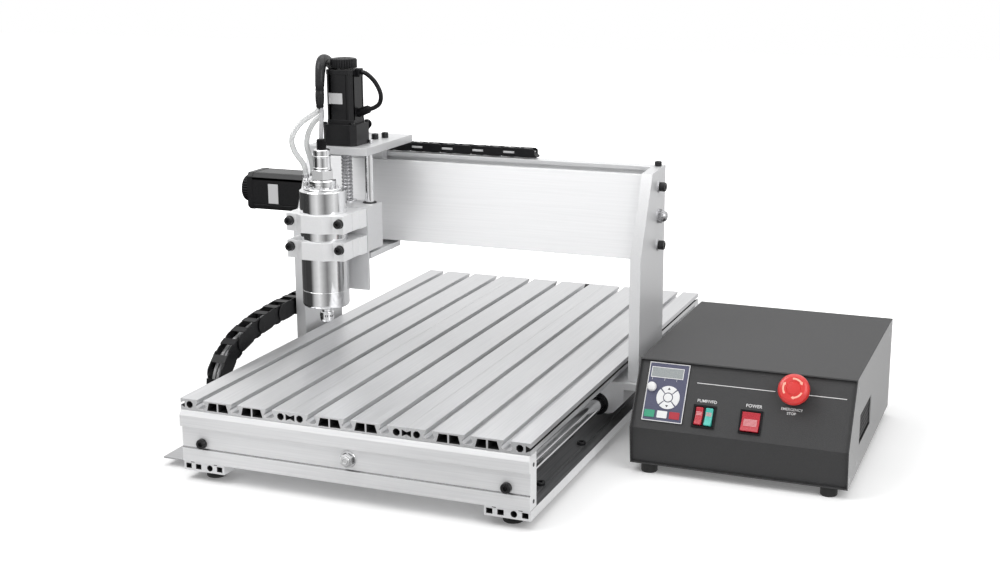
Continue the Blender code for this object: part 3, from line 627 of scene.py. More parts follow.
for end in ("front", "rear"):
    for side in ("left", "right"):
        node = f"foot_{end}_{side}"
        m, top = middle(node), high(node).z
        look(node, [turned((m.x, m.y, 0), (0, 0, 1), [
            (10.5, 0.0), (12.4, 0.4), (13.0, 1.6), (13.0, 4.0), (12.6, 4.4), (12.6, 5.0),
            (13.0, 5.4), (12.2, 9.6), (11.0, 10.6), (10.8, top)], 40)],
             "rubber", "base", "rubber")

# Fasteners on the base: rod ends in both panels, and cap screws along the rails
panel_screws, rail_screws = [], []
for side in (-1, 1):
    panel_screws.append(cap_screw((side * Y_ROD_X, 0.2, 52), (0, -1, 0), 6.7, 6.5))
    panel_screws.append(cap_screw((side * Y_ROD_X, 770.8, 52), (0, 1, 0), 6.7, 4.0))
    for y in (87, 243, 528, 684):
        rail_screws.append(cap_screw((side * 220, y, 25.2), (0, 0, 1), 6.0, 4.0))
add("panel_screws", panel_screws, "bolt", "base", "steel")
add("nose_washer", [washer((0, 0.2, 59), (0, -1, 0), 8.75, 11.0, 2.0)], "chrome", "base", "steel")
set_screws = []
for side in (-1, 1):
    for y in (10, 761):
        for z in (81, 35):
            set_screws.append(turned((side * 239.9, y, z), (side, 0, 0), [
                (2.6, 0), (2.6, 0.3), (2.2, 0.5), (1.3, 0.5, 6), (1.2, 0.1, 6), (0.2, 0.1)], 24))
add("panel_set_screws", set_screws, "bolt", "base", "steel")
add("rail_screws", rail_screws, "bolt", "base", "steel")

# ------------------------------------------------------------------ gantry
for node in ("gantry_side_left", "gantry_side_right", "gantry_foot_frame"):
    soften(node, "plate", "gantry", "anodised", 0.6)
soften("beam_front", "beam", "gantry", "anodised", 0.5)
soften("beam_rear", "panel", "gantry", "anodised", 0.5)

side_out = high("gantry_side_right").x
screws, washers, chromed = [], [], []
for z in X_RODS_Z:
    washers.append(washer((side_out + 0.1, X_ROD_Y, z), (1, 0, 0), 3, 8.2, 1.6))
    screws.append(cap_screw((side_out + 1.6, X_ROD_Y, z), (1, 0, 0), 6.5, 8.5))
chromed.append(washer((side_out + 0.1, X_ROD_Y, 303), (1, 0, 0), 6.5, 10.0, 1.4))
for side in (-1, 1):
    screws.append(cap_screw((side * SIDE_PLATE_X, 451, high("gantry_side_left").z - 0.2),
                            (0, 0, 1), 5.0, 6.0))
    for y in (366, 436):
        screws.append(cap_screw((side * SIDE_PLATE_X, y, low("gantry_foot_frame").z + 37.2),
                                (0, 0, -1), 5.0, 5.0))
add("gantry_screws", screws, "bolt", "gantry", "steel")
add("gantry_washers", washers, "zinc", "gantry", "steel")
add("x_end_washer", chromed, "zinc", "gantry", "steel")

# Seals of the linear bearings: black rings round the rods, front and back of each block
seals = []
for x in (-Y_ROD_X, Y_ROD_X):
    for y, way in ((low("gantry_foot_frame").y, -1), (high("gantry_foot_frame").y, 1)):
        seals.append(turned((x, y - 0.3 * way, 51), (0, way, 0),
                            [(10.35, 0), (16.0, 0), (16.0, 1.2), (15.2, 1.9), (12.4, 1.9),
                             (11.6, 1.1), (10.35, 1.1)], 48, True))
add("bearing_seals", seals, "plastic", "gantry", "black_plastic")
carriage_seals = []
for z in X_RODS_Z:
    for x, way in ((low("x_block").x, -1), (high("x_block").x, 1)):
        carriage_seals.append(turned((x - 0.3 * way, X_ROD_Y, z), (way, 0, 0),
                                     [(10.35, 0), (14.4, 0), (14.4, 1.0), (13.6, 1.6),
                                      (10.35, 1.2)], 40, True))
add("carriage_seals", carriage_seals, "plastic", "x_carriage", "black_plastic")


def grooved_square(a, cut, groove):
    """Section of a stepper's case: a square with cut corners and a groove beside each cut."""
    h, out = a / 2, []
    for quarter in range(4):
        turn = math.pi / 2 * quarter
        for u, v in ((h, -h + cut), (h, h - cut - 4.2), (h - groove, h - cut - 4.2),
                     (h - groove, h - cut - 2.2), (h, h - cut - 2.2), (h, h - cut),
                     (h - cut, h), (h - cut - 2.2, h), (h - cut - 2.2, h - groove),
                     (h - cut - 4.2, h - groove), (h - cut - 4.2, h)):
            out.append((u * math.cos(turn) - v * math.sin(turn),
                        u * math.sin(turn) + v * math.cos(turn)))
    return out


def along(axis, centre, outline, lo, hi):
    """An outline about a centre drawn along an axis."""
    keep = {"x": (1, 2), "y": (0, 2), "z": (0, 1)}[axis]
    return prism(axis, [(u + centre[keep[0]], v + centre[keep[1]]) for u, v in outline], lo, hi)


def stepper(node, axis, body, cut):
    """End caps with a slightly smaller grooved stack of laminations between them."""
    a, b, c = low(node), high(node), middle(node)
    k = "xyz".index(axis)
    side = max((b - a)[(k + 1) % 3], (b - a)[(k + 2) % 3]) - 0.2
    lo, hi = a[k] + 0.1, b[k] - 0.1
    cap = 9.0
    parts = [along(axis, c, rounded(side, cut), lo, lo + cap),
             along(axis, c, grooved_square(side - 1.0, cut, 1.3), lo + cap - 0.5,
                   hi - cap + 0.5),
             along(axis, c, rounded(side, cut), hi - cap, hi)]
    look(node, parts, "motor", body, "motor_black", bevel=0.35)


def finger_knob(node, axis, body, ribs=30):
    """Turned knob with scalloped grip and a dished end."""
    a, b, c = low(node), high(node), middle(node)
    k = "xyz".index(axis)
    r = (b - a)[(k + 1) % 3] / 2
    length = (b - a)[k]
    way = -1 if axis == "x" else 1
    start = Vector(c)
    start[k] = a[k] if way > 0 else b[k]
    rings = [(0.93, 0.0, 0), (1.0, 0.05, 1), (1.0, 0.82, 1), (0.955, 0.93, 0.6),
             (0.86, 0.99, 0), (0.62, 1.0, 0), (0.58, 0.93, 0), (0.1, 0.90, 0)]

    def reach(k, a):
        share, _, flute = rings[k]
        return r * (share - 0.055 * flute * (0.5 + 0.5 * math.cos(a * ribs)) ** 3)

    n = ribs * 6
    points = spun(start, [way if i == k else 0 for i in range(3)],
                  [h * length for _, h, _ in rings], n, reach)
    look(node, [(points, joined(len(rings), n))], "plastic", body, "black_plastic")


stepper("x_motor", "x", "gantry", 6)
stepper("y_motor", "y", "base", 4)
finger_knob("x_knob", "x", "x_screw_shaft")
finger_knob("y_knob", "y", "y_screw_shaft")
finger_knob("z_knob", "z", "z_screw_shaft")

motor_front = low("x_motor").y
add("x_motor_sticker", [block(-338, -321, motor_front - 0.12, motor_front + 0.2, 286, 316)],
    "sticker", "gantry", "motor_black")
add("x_motor_flange", [along("x", middle("x_motor"), rounded(57.4, 5), -271, -266.6)], "plate",
    "gantry", "anodised", bevel=0.3)

# Z motor: square gearbox stage below, grooved case above, cable gland at the top right
zc = middle("z_motor")
z_lo, z_hi = low("z_motor").z, high("z_motor").z
look("z_motor", [
    along("z", zc, rounded(51.8, 7), z_lo, 427),
    along("z", zc, rounded(41.6, 5), 426.5, 433),
    along("z", zc, grooved_square(40.8, 5, 1.2), 432.5, 496),
    along("z", zc, rounded(41.6, 5), 495.5, z_hi)],
    "motor", "x_carriage", "motor_black", bevel=0.35)
z_front = zc.y - 20.4
add("z_motor_sticker", [block(-175.3, -154, z_front - 0.12, z_front + 0.2, 455, 470)],
    "sticker", "x_carriage", "motor_black")
add("z_motor_screws", [cap_screw((zc.x + sx * 21.5, zc.y + sy * 21.5, 426.8), (0, 0, 1), 2.8, 3.0)
                       for sx in (-1, 1) for sy in (-1, 1)], "bolt", "x_carriage", "steel")

# ------------------------------------------------------------------ drag chains
def link_outline(pitch, h):
    """Side plate of one link: a long hole-less plate with a round front end."""
    r = h / 2
    arc = [(r * math.cos(a) + pitch, r * math.sin(a))
           for a in [math.radians(-90 + 15 * i) for i in range(13)]]
    return [(pitch * 0.06, -r), *arc, (pitch * 0.06, r), (-r * 0.35, r * 0.62),
            (-r * 0.35, -r * 0.62)]


def drag_chain(node, path, across, width, height, pitch):
    """Links along a path, each with two side plates, cross bars and hinge bosses."""
    across = Vector(across)
    run = [0.0]
    for a, b in zip(path, path[1:]):
        run.append(run[-1] + (b - a).length)

    def spot(s):
        s = min(max(s, 0.0), run[-1])
        for i in range(len(path) - 1):
            if s <= run[i + 1]:
                return path[i].lerp(path[i + 1], (s - run[i]) / (run[i + 1] - run[i]))
        return path[-1]

    count = max(1, round(run[-1] / pitch))
    pitch = run[-1] / count
    parts = []
    for k in range(count):
        a, b = spot(k * pitch), spot((k + 1) * pitch)
        ahead = (b - a).normalized()
        up = across.cross(ahead).normalized()
        inner = 1.7 if k % 2 else 0.0

        def solid(outline, lo, hi):
            points, faces = prism("z", outline, lo, hi)
            return [tuple(a + ahead * u + up * v + across * w) for u, v, w in points], faces

        plate = link_outline(pitch * 0.93, height * 0.96)
        half = width / 2
        for sign in (-1, 1):
            near, far = sorted((sign * (half - inner), sign * (half - inner - 1.8)))
            parts.append(solid(plate, near, far))
            boss = [(height * 0.2 * math.cos(t) + pitch * 0.93, height * 0.2 * math.sin(t))
                    for t in [math.tau * i / 16 for i in range(16)]]
            near, far = sorted((sign * (half - 2.4), sign * (half + 0.15)))
            if inner == 0:
                parts.append(solid(boss, near, far))
        for v in (height / 2 - 1.0, -height / 2 + 1.0):
            bar = [(pitch * 0.22, v - 0.95), (pitch * 0.66, v - 0.95), (pitch * 0.62, v + 0.95),
                   (pitch * 0.26, v + 0.95)]
            parts.append(solid(bar, -half + 0.4, half - 0.4))
    made = look(node, parts, "plastic", None, "black_plastic", bevel=0.3)
    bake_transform(made)
    for k, (shift, kind) in enumerate(((-0.28, "wire"), (0.0, "grey"), (0.27, "wire"))):
        lane = [p + across * shift * width for p in path]
        wire = add(f"{node}_wire_{k + 1}", [tube(lane, 2.4, 10)], kind, None, "grey_cable")
        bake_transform(wire)


def bend(centre, r, start, stop, y, steps=14):
    """Points of an arc in the XZ plane."""
    out = []
    for i in range(steps + 1):
        a = math.radians(start + (stop - start) * i / steps)
        out.append(Vector((centre[0] + r * math.cos(a), y, centre[1] + r * math.sin(a))))
    return out


y_path = [Vector((Y_CHAIN_X, y, z)) for y, z in (
    (398, 143.5), (330, 143.5), (268, 140), (214, 131), (176, 116), (154, 97), (147.5, 76),
    (152, 55), (166, 38), (190, 28), (225, 25.9), (280, 25.9), (330, 25.9))]
drag_chain("y_drag_chain", curve_through(y_path, 5), (1, 0, 0), 23.4, 26.0, 29)
x_path = ([Vector((x, X_CHAIN_Y, 377.5)) for x in (74, 0, -90, -195)]
          + bend((-197, 391.5), 14, -90, -270, X_CHAIN_Y))
drag_chain("x_drag_chain", x_path, (0, 1, 0), 15.6, 13.2, 24)
end_x = high("x_drag_chain").x
add("x_chain_bracket", [prism("y", [(end_x - 16, 371.2), (end_x, 371.2), (end_x, 373.0),
                                    (end_x - 10, 383.6), (end_x - 16, 383.8)], 446.4, 461.6)],
    "plastic", "gantry", "black_plastic", bevel=0.4)
add("y_chain_bracket", [block(-291, -266.4, 380, 398, 131, 156)], "plastic", "gantry",
    "black_plastic", bevel=0.8)

# ------------------------------------------------------------------ carriage and head
for node in ("x_block", "z_top_plate", "z_bottom_plate"):
    soften(node, "plate", "x_carriage", "anodised", 0.6)
soften("z_slide", "plate", "z_carriage", "anodised", 0.45)
for node in ("clamp_lower_rear", "clamp_lower_front", "clamp_upper_rear", "clamp_upper_front"):
    soften(node, "clamp", "z_carriage", "anodised", 0.45)

HEAD_X, HEAD_Y, SPINDLE_Y = middle("z_screw").x, middle("z_screw").y, middle("rotor").y
top_z = high("z_top_plate").z
add("top_plate_screws", [cap_screw((HEAD_X + dx, y, top_z - 0.2), (0, 0, 1), 5.0, 8.0)
                         for dx, y in ((18, 378), (25, 396), (-40, 384))],
    "bolt", "x_carriage", "steel")
add("motor_bolts", [cap_screw((HEAD_X + dx, HEAD_Y + dy, top_z - 0.2), (0, 0, 1), 3.2, 5.0)
                    for dx, dy in ((-31, -21), (-31, 19), (29.5, 19))],
    "zinc", "x_carriage", "steel")
low_plate = low("z_bottom_plate").z
add("bottom_plate_screws", [cap_screw((HEAD_X + dx, y, low_plate + 0.2), (0, 0, -1), 4.0, 4.5)
                            for dx in (-36, 0, 36) for y in (323, 384)], "bolt", "x_carriage",
    "steel")
slide_top = high("z_slide").z
add("slide_seals", [turned((HEAD_X + dx, HEAD_Y, slide_top - 0.3), (0, 0, 1),
                           [(6.3, 0), (10.0, 0), (10.0, 1.0), (9.3, 1.6), (7.2, 1.6),
                            (6.3, 1.0)], 40, True) for dx in (-35, 35)],
    "plastic", "z_carriage", "black_plastic")
add("nut_flange", [turned((HEAD_X, HEAD_Y, slide_top - 0.3), (0, 0, 1),
                          [(8.5, 0), (13.0, 0), (13.0, 2.2), (12.4, 2.8), (8.5, 2.8)], 40, True)],
    "steel", "z_carriage", "steel")

ears = []
for node in ("clamp_lower_front", "clamp_upper_front"):
    z, y = middle(node).z + (2.2 if "upper" in node else 3.5), low(node).y + 9
    for dx in (-38.0, 38.0):
        ears.append(washer((HEAD_X + dx, y + 0.1, z), (0, -1, 0), 3, 6.6, 1.0))
        ears.append(cap_screw((HEAD_X + dx, y - 0.8, z), (0, -1, 0), 5.9, 6.5))
add("clamp_screws", ears, "bolt", "z_carriage", "steel")

# Spindle: polished body with a turned cap, its lifting ring of screws, plug and fittings
axis_at = (HEAD_X, SPINDLE_Y, 0)
UP = (0, 0, 1)
look("spindle_body", [turned(axis_at, UP, [
    (9.6, 180.0), (28.4, 180.0), (29.2, 180.3), (31.4, 181.8), (32.3, 183.6), (32.5, 185.0),
    (32.5, 203.6), (32.25, 203.9), (32.25, 204.3), (32.5, 204.6), (32.5, 342.6), (31.9, 343.3),
    (27.4, 343.5), (27.0, 343.8), (27.0, 346.0), (26.4, 346.7), (19.0, 346.9)], 96)],
    "chrome", "z_carriage", "chrome")
add("cap_screws_top", [cap_screw((HEAD_X + 22.6 * math.cos(a), SPINDLE_Y + 22.6 * math.sin(a),
                                  346.2), UP, 2.3, 2.4)
                       for a in [math.radians(d) for d in (20, 65, 110, 245, 290, 335)]],
    "zinc", "z_carriage", "chrome")
look("spindle_plug", [
    turned(axis_at, UP, [(18.4, 346.6), (18.7, 347.2), (18.7, 350.6), (18.2, 351.0),
                         (18.2, 352.2), (18.7, 352.6), (18.7, 356.2), (17.4, 357.8),
                         (14.6, 358.1)], 64),
    turned(axis_at, UP, [(13.4, 358.0), (14.2, 358.6, 6), (14.2, 370.8, 6), (13.2, 371.6),
                         (12.2, 372.0)], 72),
    turned(axis_at, UP, [(12.4, 371.8), (12.4, 374.4), (11.8, 375.0), (11.8, 388.6),
                         (12.4, 389.2), (12.4, 390.4), (11.4, 391.2)], 48),
    turned(axis_at, UP, [(11.6, 391.0), (11.6, 398.2), (10.6, 399.2), (6.2, 399.6)], 48)],
    "chrome", "z_carriage", "chrome")
add("plug_boot", [turned(axis_at, UP, [(6.6, 398.8)]
                         + [(r, 399.4 + 1.5 * i + d) for i in range(9)
                            for r, d in ((6.6, 0.0), (6.6, 0.8), (5.8, 0.95), (5.8, 1.35))]
                         + [(5.4, 413.3), (3.2, 413.6)], 28)],
    "plastic", "z_carriage", "black_plastic")
for i in (1, 2):
    m, base = middle(f"water_fitting_{i}"), low(f"water_fitting_{i}").z
    look(f"water_fitting_{i}", [turned((m.x, m.y, base), UP, [
        (3.9, -0.3), (4.2, 0.2, 6), (4.2, 6.6, 6), (3.6, 7.2), (2.9, 7.6), (3.4, 9.0),
        (2.7, 11.2), (3.4, 11.4), (2.7, 13.8), (3.3, 14.0), (2.5, 17.8)], 30)],
        "chrome", "z_carriage", "chrome")
    add(f"hose_clip_{i}", [turned((m.x, m.y, base + 12.5), UP, [
        (3.9, 0), (4.7, 0), (4.7, 4.0), (3.9, 4.0)], 30, True)], "zinc", "z_carriage", "steel")
m = middle("rotor")
look("rotor", [turned((m.x, m.y, 0), UP, [
    (4.4, 157.2), (8.0, 157.0), (8.8, 157.8), (9.5, 160.4), (9.5, 170.4), (8.9, 171.4),
    (7.0, 171.8), (7.0, 179.6)], 48),
    turned((m.x, m.y, 0), UP, [(9.1, 161.6), (9.75, 161.8, 16), (9.75, 169.2, 16),
                               (9.1, 169.4)], 64)],
    "chrome", "rotor", "steel")
# Dark marks for the collet nut's slots: painted shade standing for the holes
turns = [math.radians(22.5 + 45 * i) for i in range(8)]
add("collet_slots", [turned((m.x + 9.5 * math.cos(a), m.y + 9.5 * math.sin(a), 165.5),
                            (math.cos(a), math.sin(a), 0),
                            [(2.1, 0), (2.1, 0.3), (0.1, 0.3)], 20) for a in turns],
    "recess_shade", "rotor", "steel")

HOSES = (((-184, 246, 361), (-184.2, 246, 367), (-187, 245, 379), (-200, 246, 395),
          (-206, 250, 412), (-200, 262, 430), (-186, 280, 443.5), (-182, 285, 448)),
         ((-181.5, 262.5, 361), (-181.6, 262.5, 367), (-183.5, 262.5, 380), (-190, 263, 398),
          (-191, 268, 415), (-185, 274, 431), (-177.5, 283, 441), (-179, 287, 448)))
CABLE = ((-161, 251, 412), (-161, 251.2, 418), (-161.5, 253, 426), (-164, 259, 436),
         (-171, 275, 444), (-178, 286, 449))


def flexing(node, run, radius, kind, slot):
    """A hose or cable between the spindle and the carriage, drawn as a tube through its points."""
    made = look(node, [tube(curve_through(run, 10), radius, 20)], kind, None, slot)
    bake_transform(made)


for i, run in enumerate(HOSES, 1):
    flexing(f"water_hose_{i}", run, 3.7, "hose", "clear_hose")
flexing("spindle_cable", CABLE, 2.9, "grey", "grey_cable")

SLEEVE = ((-181, 287, 449), (-181, 288, 474), (-181.5, 291, 494), (-184, 299, 508),
          (-188, 313, 514.2), (-190, 330, 511.4), (-189, 345, 499), (-187, 356, 476),
          (-186, 367, 450), (-189, 386, 429), (-192, 412, 416), (-194, 436, 411))


def sleeve_radius(t):
    """Fuller where the bundle is loose, drawn in under its ties."""
    r = 6.1 + 1.7 * math.exp(-((t - 0.34) / 0.17) ** 2)
    for tie in (0.012, 0.1, 0.62):
        r -= 0.9 * math.exp(-((t - tie) / 0.014) ** 2)
    return r - 0.8 * math.exp(-(t / 0.03) ** 2)


sleeve_path = curve_through(SLEEVE, 12)
look("cable_sleeve", [tube(sleeve_path, sleeve_radius, 28)], "braid", "x_carriage",
     "black_plastic")
ties = []
for share in (0.014, 0.1, 0.62):
    k = round(share * (len(sleeve_path) - 1))
    heading = sleeve_path[min(k + 1, len(sleeve_path) - 1)] - sleeve_path[k]
    r = sleeve_radius(share)
    ties.append(turned(sleeve_path[k], heading, [(r - 0.2, -1.6), (r + 0.7, -1.6),
                                                 (r + 0.7, 1.6), (r - 0.2, 1.6)], 32, True))
add("sleeve_ties", ties, "plastic", "x_carriage", "black_plastic")

LOOP = ((-140.3, 322, 498), (-136, 322, 498), (-126, 321, 497), (-112, 320, 486),
        (-103.5, 320, 470), (-105, 320, 457), (-114, 320.5, 450), (-124, 321, 447))
look("motor_cable", [tube(curve_through(LOOP, 10), 3.1, 18)], "plastic", "x_carriage",
     "black_plastic")
boot_axis = Vector((18, 0, 6.5))
add("motor_cable_boot", [turned((-139.8, 322, 441.5), boot_axis, [(6.4, 0)]
                                + [(r - 0.12 * i, 3 + 2.6 * i + d) for i in range(6)
                                   for r, d in ((6.2, 0.0), (6.2, 1.4), (5.2, 1.6), (5.2, 2.4))]
                                + [(4.2, 19.5), (3.2, 20.5)], 28)],
    "plastic", "x_carriage", "black_plastic")
add("motor_gland", [block(-140.6, -133.5, 316, 328, 492, 503.5)], "plastic", "x_carriage",
    "black_plastic", bevel=1.0)

# ------------------------------------------------------------------ control box
BOX_LOW, BOX_HIGH = low("control_box"), high("control_box")
# The front in section: its toe, its bend and the crest above, and how deep its faces lie
TOE_Y, TOE_Z = 233.3, 13
BEND_Y, BEND_Z, CREST_Y, RECESS = 228.5, 63.3, 275.7, 4.0
slope = Vector((0, CREST_Y - BEND_Y, BOX_HIGH.z - BEND_Z)).normalized()
OUT = Vector((0, -slope.z, slope.y))


def on_panel(u, v, n=0.0):
    """A point u along the sloped panel, v up it and n out of its recessed face."""
    return (Vector((BOX_LOW.x + u, BEND_Y, BEND_Z)) + OUT * (n - RECESS) + slope * v)


def raised(outline, n0, n1):
    """An outline on the sloped panel standing from n0 to n1."""
    return [tuple(on_panel(u, v, n)) for n in (n0, n1) for u, v in outline], joined(2, len(outline))


def oblong(u, v, w, h, r=0.0, n=5):
    """Rectangle about (u, v) with round corners."""
    if r <= 0:
        return [(u - w / 2, v - h / 2), (u + w / 2, v - h / 2), (u + w / 2, v + h / 2),
                (u - w / 2, v + h / 2)]
    out = []
    for cu, cv, start in ((w / 2 - r, -h / 2 + r, -90), (w / 2 - r, h / 2 - r, 0),
                          (-w / 2 + r, h / 2 - r, 90), (-w / 2 + r, -h / 2 + r, 180)):
        out += [(u + cu + r * math.cos(math.radians(start + 90 * i / n)),
                 v + cv + r * math.sin(math.radians(start + 90 * i / n))) for i in range(n + 1)]
    return out


def border(u, v, w, h, line, n0, n1):
    """Four strips round a rectangle."""
    return [raised(oblong(u, v + s * (h - line) / 2, w, line), n0, n1) for s in (-1, 1)] + \
           [raised(oblong(u + s * (w - line) / 2, v, line, h - 2 * line), n0, n1)
            for s in (-1, 1)]


def sector(u, v, r0, r1, a0, a1, steps=8):
    angles = [math.radians(a0 + (a1 - a0) * i / steps) for i in range(steps + 1)]
    return ([(u + r1 * math.cos(a), v + r1 * math.sin(a)) for a in angles]
            + [(u + r0 * math.cos(a), v + r0 * math.sin(a)) for a in reversed(angles)])


def disc(u, v, r, n=32):
    return [(u + r * math.cos(math.tau * i / n), v + r * math.sin(math.tau * i / n))
            for i in range(n)]


def word(name, text, u, v, n, size, kind="print", body="base"):
    """Printed lettering lying on the sloped panel."""
    curve = bpy.data.curves.new(name, "FONT")
    curve.body = text
    curve.size = size * MM
    curve.extrude = 0.00004
    curve.offset = 0.00004
    curve.align_x = "CENTER"
    curve.align_y = "CENTER"
    curve.resolution_u = 3
    made = bpy.data.objects.new(name, curve)
    bpy.context.scene.collection.objects.link(made)
    curve.materials.append(M[kind])
    basis = Matrix((Vector((1, 0, 0)), slope, OUT)).transposed().to_4x4()
    made.matrix_world = Matrix.Translation(at(*on_panel(u, v, n))) @ basis
    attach(made, body)
    return made


# The cover, its two recessed faces a shade darker, its sides paler as painted light and its feet
# rubber
box_look = soften("control_box", "charcoal", "base", "charcoal", 0.5)
lower_out = Vector((0, -(BEND_Z - TOE_Z), BEND_Y - TOE_Y)).normalized()
repaint(box_look, "face", lambda c, n: (
    n.dot(OUT) > 0.98 and behind(c, OUT, (0, BEND_Y, BEND_Z)) < -2) or (
    n.y < -0.97 and -8 < behind(c, lower_out, (0, BEND_Y, BEND_Z)) < -1.5 and c.z < BEND_Z))
repaint(box_look, "rubber", lambda c, n: c.z < 12.8)
# Sides and the edges beside them get the paler painted light
repaint(box_look, "side", lambda c, n: (abs(n.x) > 0.9 and not BOX_LOW.x + 1 < c.x < BOX_HIGH.x - 1)
        or (n.y < -0.6 and not BOX_LOW.x + 1.7 < c.x < BOX_HIGH.x - 1.7))

# Keypad: film with a white border, display, direction ring and three keys
FILM = (40.25, 51.0, 53.5, 78.0)
SCREEN_U, SCREEN_V = 38.6, 76.8
PAD_U, PAD_V = 44.2, 44.4
look("keypad", [raised(oblong(*FILM, 1.2), 0.25, 1.7)], "navy", "base", "keypad", bevel=0.15)
add("keypad_border", border(*FILM, 1.0, 1.65, 1.82), "print", "base", "white")
add("keypad_display", [raised(oblong(SCREEN_U, SCREEN_V, 42.0, 13.0, 0.8), 1.6, 2.1)], "screen",
    "base", "keypad", bevel=0.1)
add("keypad_display_rim", border(SCREEN_U, SCREEN_V, 43.2, 14.2, 0.8, 1.6, 2.2), "white", "base",
    "white", bevel=0.1)
add("keypad_leads", [raised(oblong(u, 68.0, 0.45, 3.2), 1.6, 1.8) for u in (19.5, 36, 52)],
    "print", "base", "white")
ring = [raised(sector(PAD_U, PAD_V, 6.6, 15.4, a + 3.5, a + 86.5), 1.6, 2.9)
        for a in (45, 135, 225, 315)]
add("keypad_ring", ring + [raised(disc(PAD_U, PAD_V, 5.4), 1.6, 3.2)], "white", "base", "white",
    bevel=0.35)
arrows = [[(PAD_U - 2.0, PAD_V + 10.2), (PAD_U + 2.0, PAD_V + 10.2), (PAD_U, PAD_V + 13.2)],
          [(PAD_U - 2.0, PAD_V - 10.2), (PAD_U, PAD_V - 13.2), (PAD_U + 2.0, PAD_V - 10.2)]]
add("keypad_arrows", [raised(a, 2.85, 3.0) for a in arrows], "bolt", "base", "keypad")
for name, u, kind in (("start", 22.7, "key_green"), ("set", 39.5, "white"),
                      ("stop", 56.0, "crimson")):
    add(f"keypad_key_{name}", [raised(oblong(u, 21.4, 13.4, 9.4, 0.8), 1.6, 2.6)], kind, "base",
        "keypad", bevel=0.25)
spot = on_panel(20.9, 56.5)
look("keypad_knob", [turned(spot, OUT, [(6.0, 2.2), (6.15, 2.6), (6.0, 5.6), (5.5, 7.0),
                                        (4.6, 7.9), (2.0, 8.3)], 48),
                     raised(oblong(20.9, 59.3, 0.9, 4.2, 0.3), 8.0, 8.35)],
     "white", "speed", "white")

add("panel_line", [raised(oblong(u, 68.5, w, 0.85), -0.05, 0.1)
                   for u, w in ((129.5, 101.5), (245.5, 49.0))], "print", "base", "white")

# Rockers in black frames
def rocker_top(dv, half):
    """Height of a rocker's dished top at a distance from its pivot."""
    t = (1 - dv / half) / 2
    return 2.8 + 3.2 * t - 2.2 * math.sin(math.pi * t)


def rocker_look(node, body, u, v, w, l, kind, slot, soft, ribs):
    """A rocker seen in section along its length, with pale ribs across its raised end as painted
    highlight.
    """
    half = l / 2
    top = [(half * (1 - 2 * i / 12), rocker_top(half * (1 - 2 * i / 12), half))
           for i in range(13)]
    side = [(-half, -2.4), (half, -2.4), *top]
    points = [tuple(on_panel(u + du, v + dv, n)) for du in (-w / 2, w / 2) for dv, n in side]
    look(node, [(points, joined(2, len(side)))], kind, body, slot, bevel=soft, segments=3)
    # The ribs are pale pink, painted highlight
    add(f"{node}_ribs", [raised(oblong(u, v + dv, w * 0.74, 0.9, 0.3),
                                rocker_top(dv, half) - 0.3, rocker_top(dv, half) + 0.45)
                         for dv in ribs], "rib_highlight", body, slot)


def rocker_frame(name, u, v, w, h, line, bars=()):
    add(name, border(u, v, w, h, line, -0.2, 1.9)
        + [raised(oblong(b, v, 2.2, h - 1), -0.2, 1.7) for b in bars], "plastic", "base",
        "black_plastic", bevel=0.4)


rocker_look("rocker_red", "pump", 87.7, 25.3, 9.9, 23.6, "rocker", "red", 2.2, (1.5, 3.3, 5.1))
rocker_look("rocker_green", "drive", 100.5, 25.3, 9.9, 23.6, "green", "green", 2.2,
            (1.5, 3.3, 5.1))
rocker_look("power_rocker", "power", 154.6, 25.2, 23.0, 25.2, "rocker", "red", 0.7,
            (-5.2, -3.6, -2.0, -0.4, 1.2, 2.8))
rocker_frame("pair_frame", 94.1, 25.3, 29.8, 30.0, 2.5, (94.1,))
rocker_frame("power_frame", 154.6, 25.2, 28.6, 31.4, 2.2)

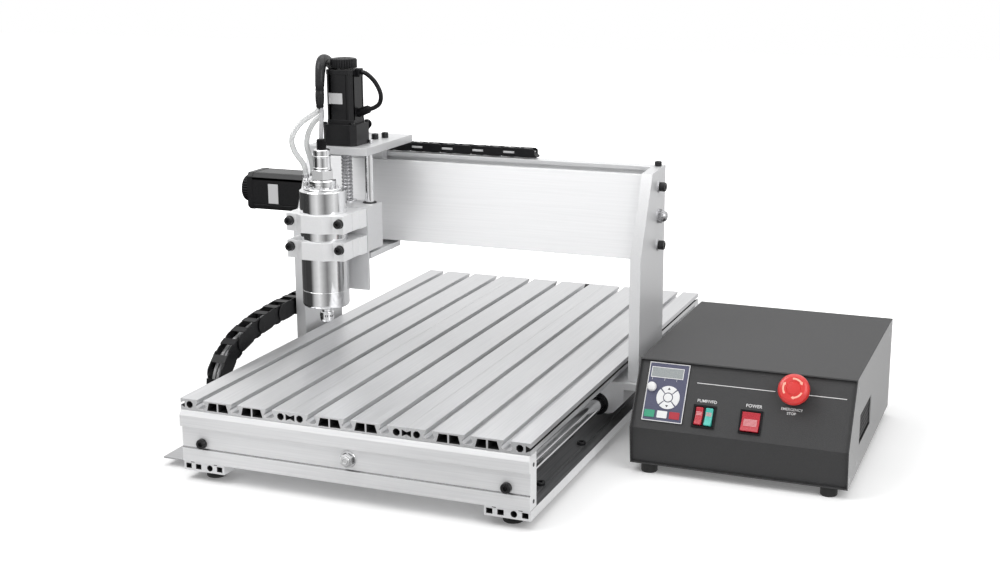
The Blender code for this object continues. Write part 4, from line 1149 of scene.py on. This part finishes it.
# Emergency stop: stepped mushroom with three printed arrows
STOP_U, STOP_V = 205.8, 70.0
spot = on_panel(STOP_U, STOP_V)
lift = 4.3
look("estop_button", [turned(spot, OUT, [
    (9.4, lift), (9.4, lift + 7.4), (18.6, lift + 7.8), (19.6, lift + 8.8), (20.0, lift + 10.4),
    (19.9, lift + 14.0), (19.0, lift + 16.6), (17.2, lift + 18.4), (14.6, lift + 19.4),
    (9.6, lift + 19.7), (9.0, lift + 19.2), (8.2, lift + 19.3), (7.4, lift + 20.1),
    (4.0, lift + 20.4), (0.5, lift + 20.5)], 72)], "red", "stop", "red")
marks = []
for a in (40, 160, 280):
    marks.append(raised(sector(STOP_U, STOP_V, 11.2, 13.4, a, a + 58, 10),
                        lift + 19.3, lift + 19.75))
    out = []
    for r, t in ((9.9, a), (14.7, a), (12.3, a - 16)):
        out.append((STOP_U + r * math.cos(math.radians(t)),
                    STOP_V + r * math.sin(math.radians(t))))
    marks.append(raised(out, lift + 19.3, lift + 19.75))
add("estop_arrows", marks, "arrow", "stop", "red")
add("estop_collar", [turned(spot, OUT, [(10.4, 6.3), (14.6, 6.3), (14.6, 6.5), (14.2, 7.3),
                                        (10.4, 7.3)], 56, True),
                     turned(spot, OUT, [(14.4, 0.05), (17.0, 0.05), (17.0, 1.2), (16.2, 2.0),
                                        (14.4, 2.0)], 56, True)], "plastic", "base",
    "charcoal")

word("word_power", "POWER", 156.2, 46.3, 0.05, 6.0)
word("word_pump", "PUMP/VFD", 95.5, 45.5, 0.05, 5.6)
word("word_emergency", "EMERGENCY", 204.0, 47.5, 0.05, 4.8)
word("word_stop", "STOP", 204.0, 42.3, 0.05, 4.8)

# Cover screws on both sides, and the louvred plate behind the side window
side_screws = []
for x, way in ((BOX_HIGH.x, 1), (BOX_LOW.x, -1)):
    for y, z in ((288, 128.0), (302, 25.5), (561, 128.0), (571, 25.0), (243, 23)):
        side_screws.append(turned((x - 0.6 * way, y, z), (way, 0, 0), [
            (2.6, 0), (3.6, 0.62), (1.6, 0.65), (1.4, 0.62), (0.2, 0.62)], 28))
add("cover_screws", side_screws, "zinc", "base", "charcoal")
slats = [block(BOX_HIGH.x - 6.5, BOX_HIGH.x - 2.2, 309, 408, z, z + 4.4)
         for z in [48 + 6.6 * i for i in range(6)]]
add("window_grille", slats + [block(BOX_HIGH.x - 9, BOX_HIGH.x - 7.5, 306, 411, 43, 91)],
    "charcoal", "base", "charcoal", bevel=0.3)
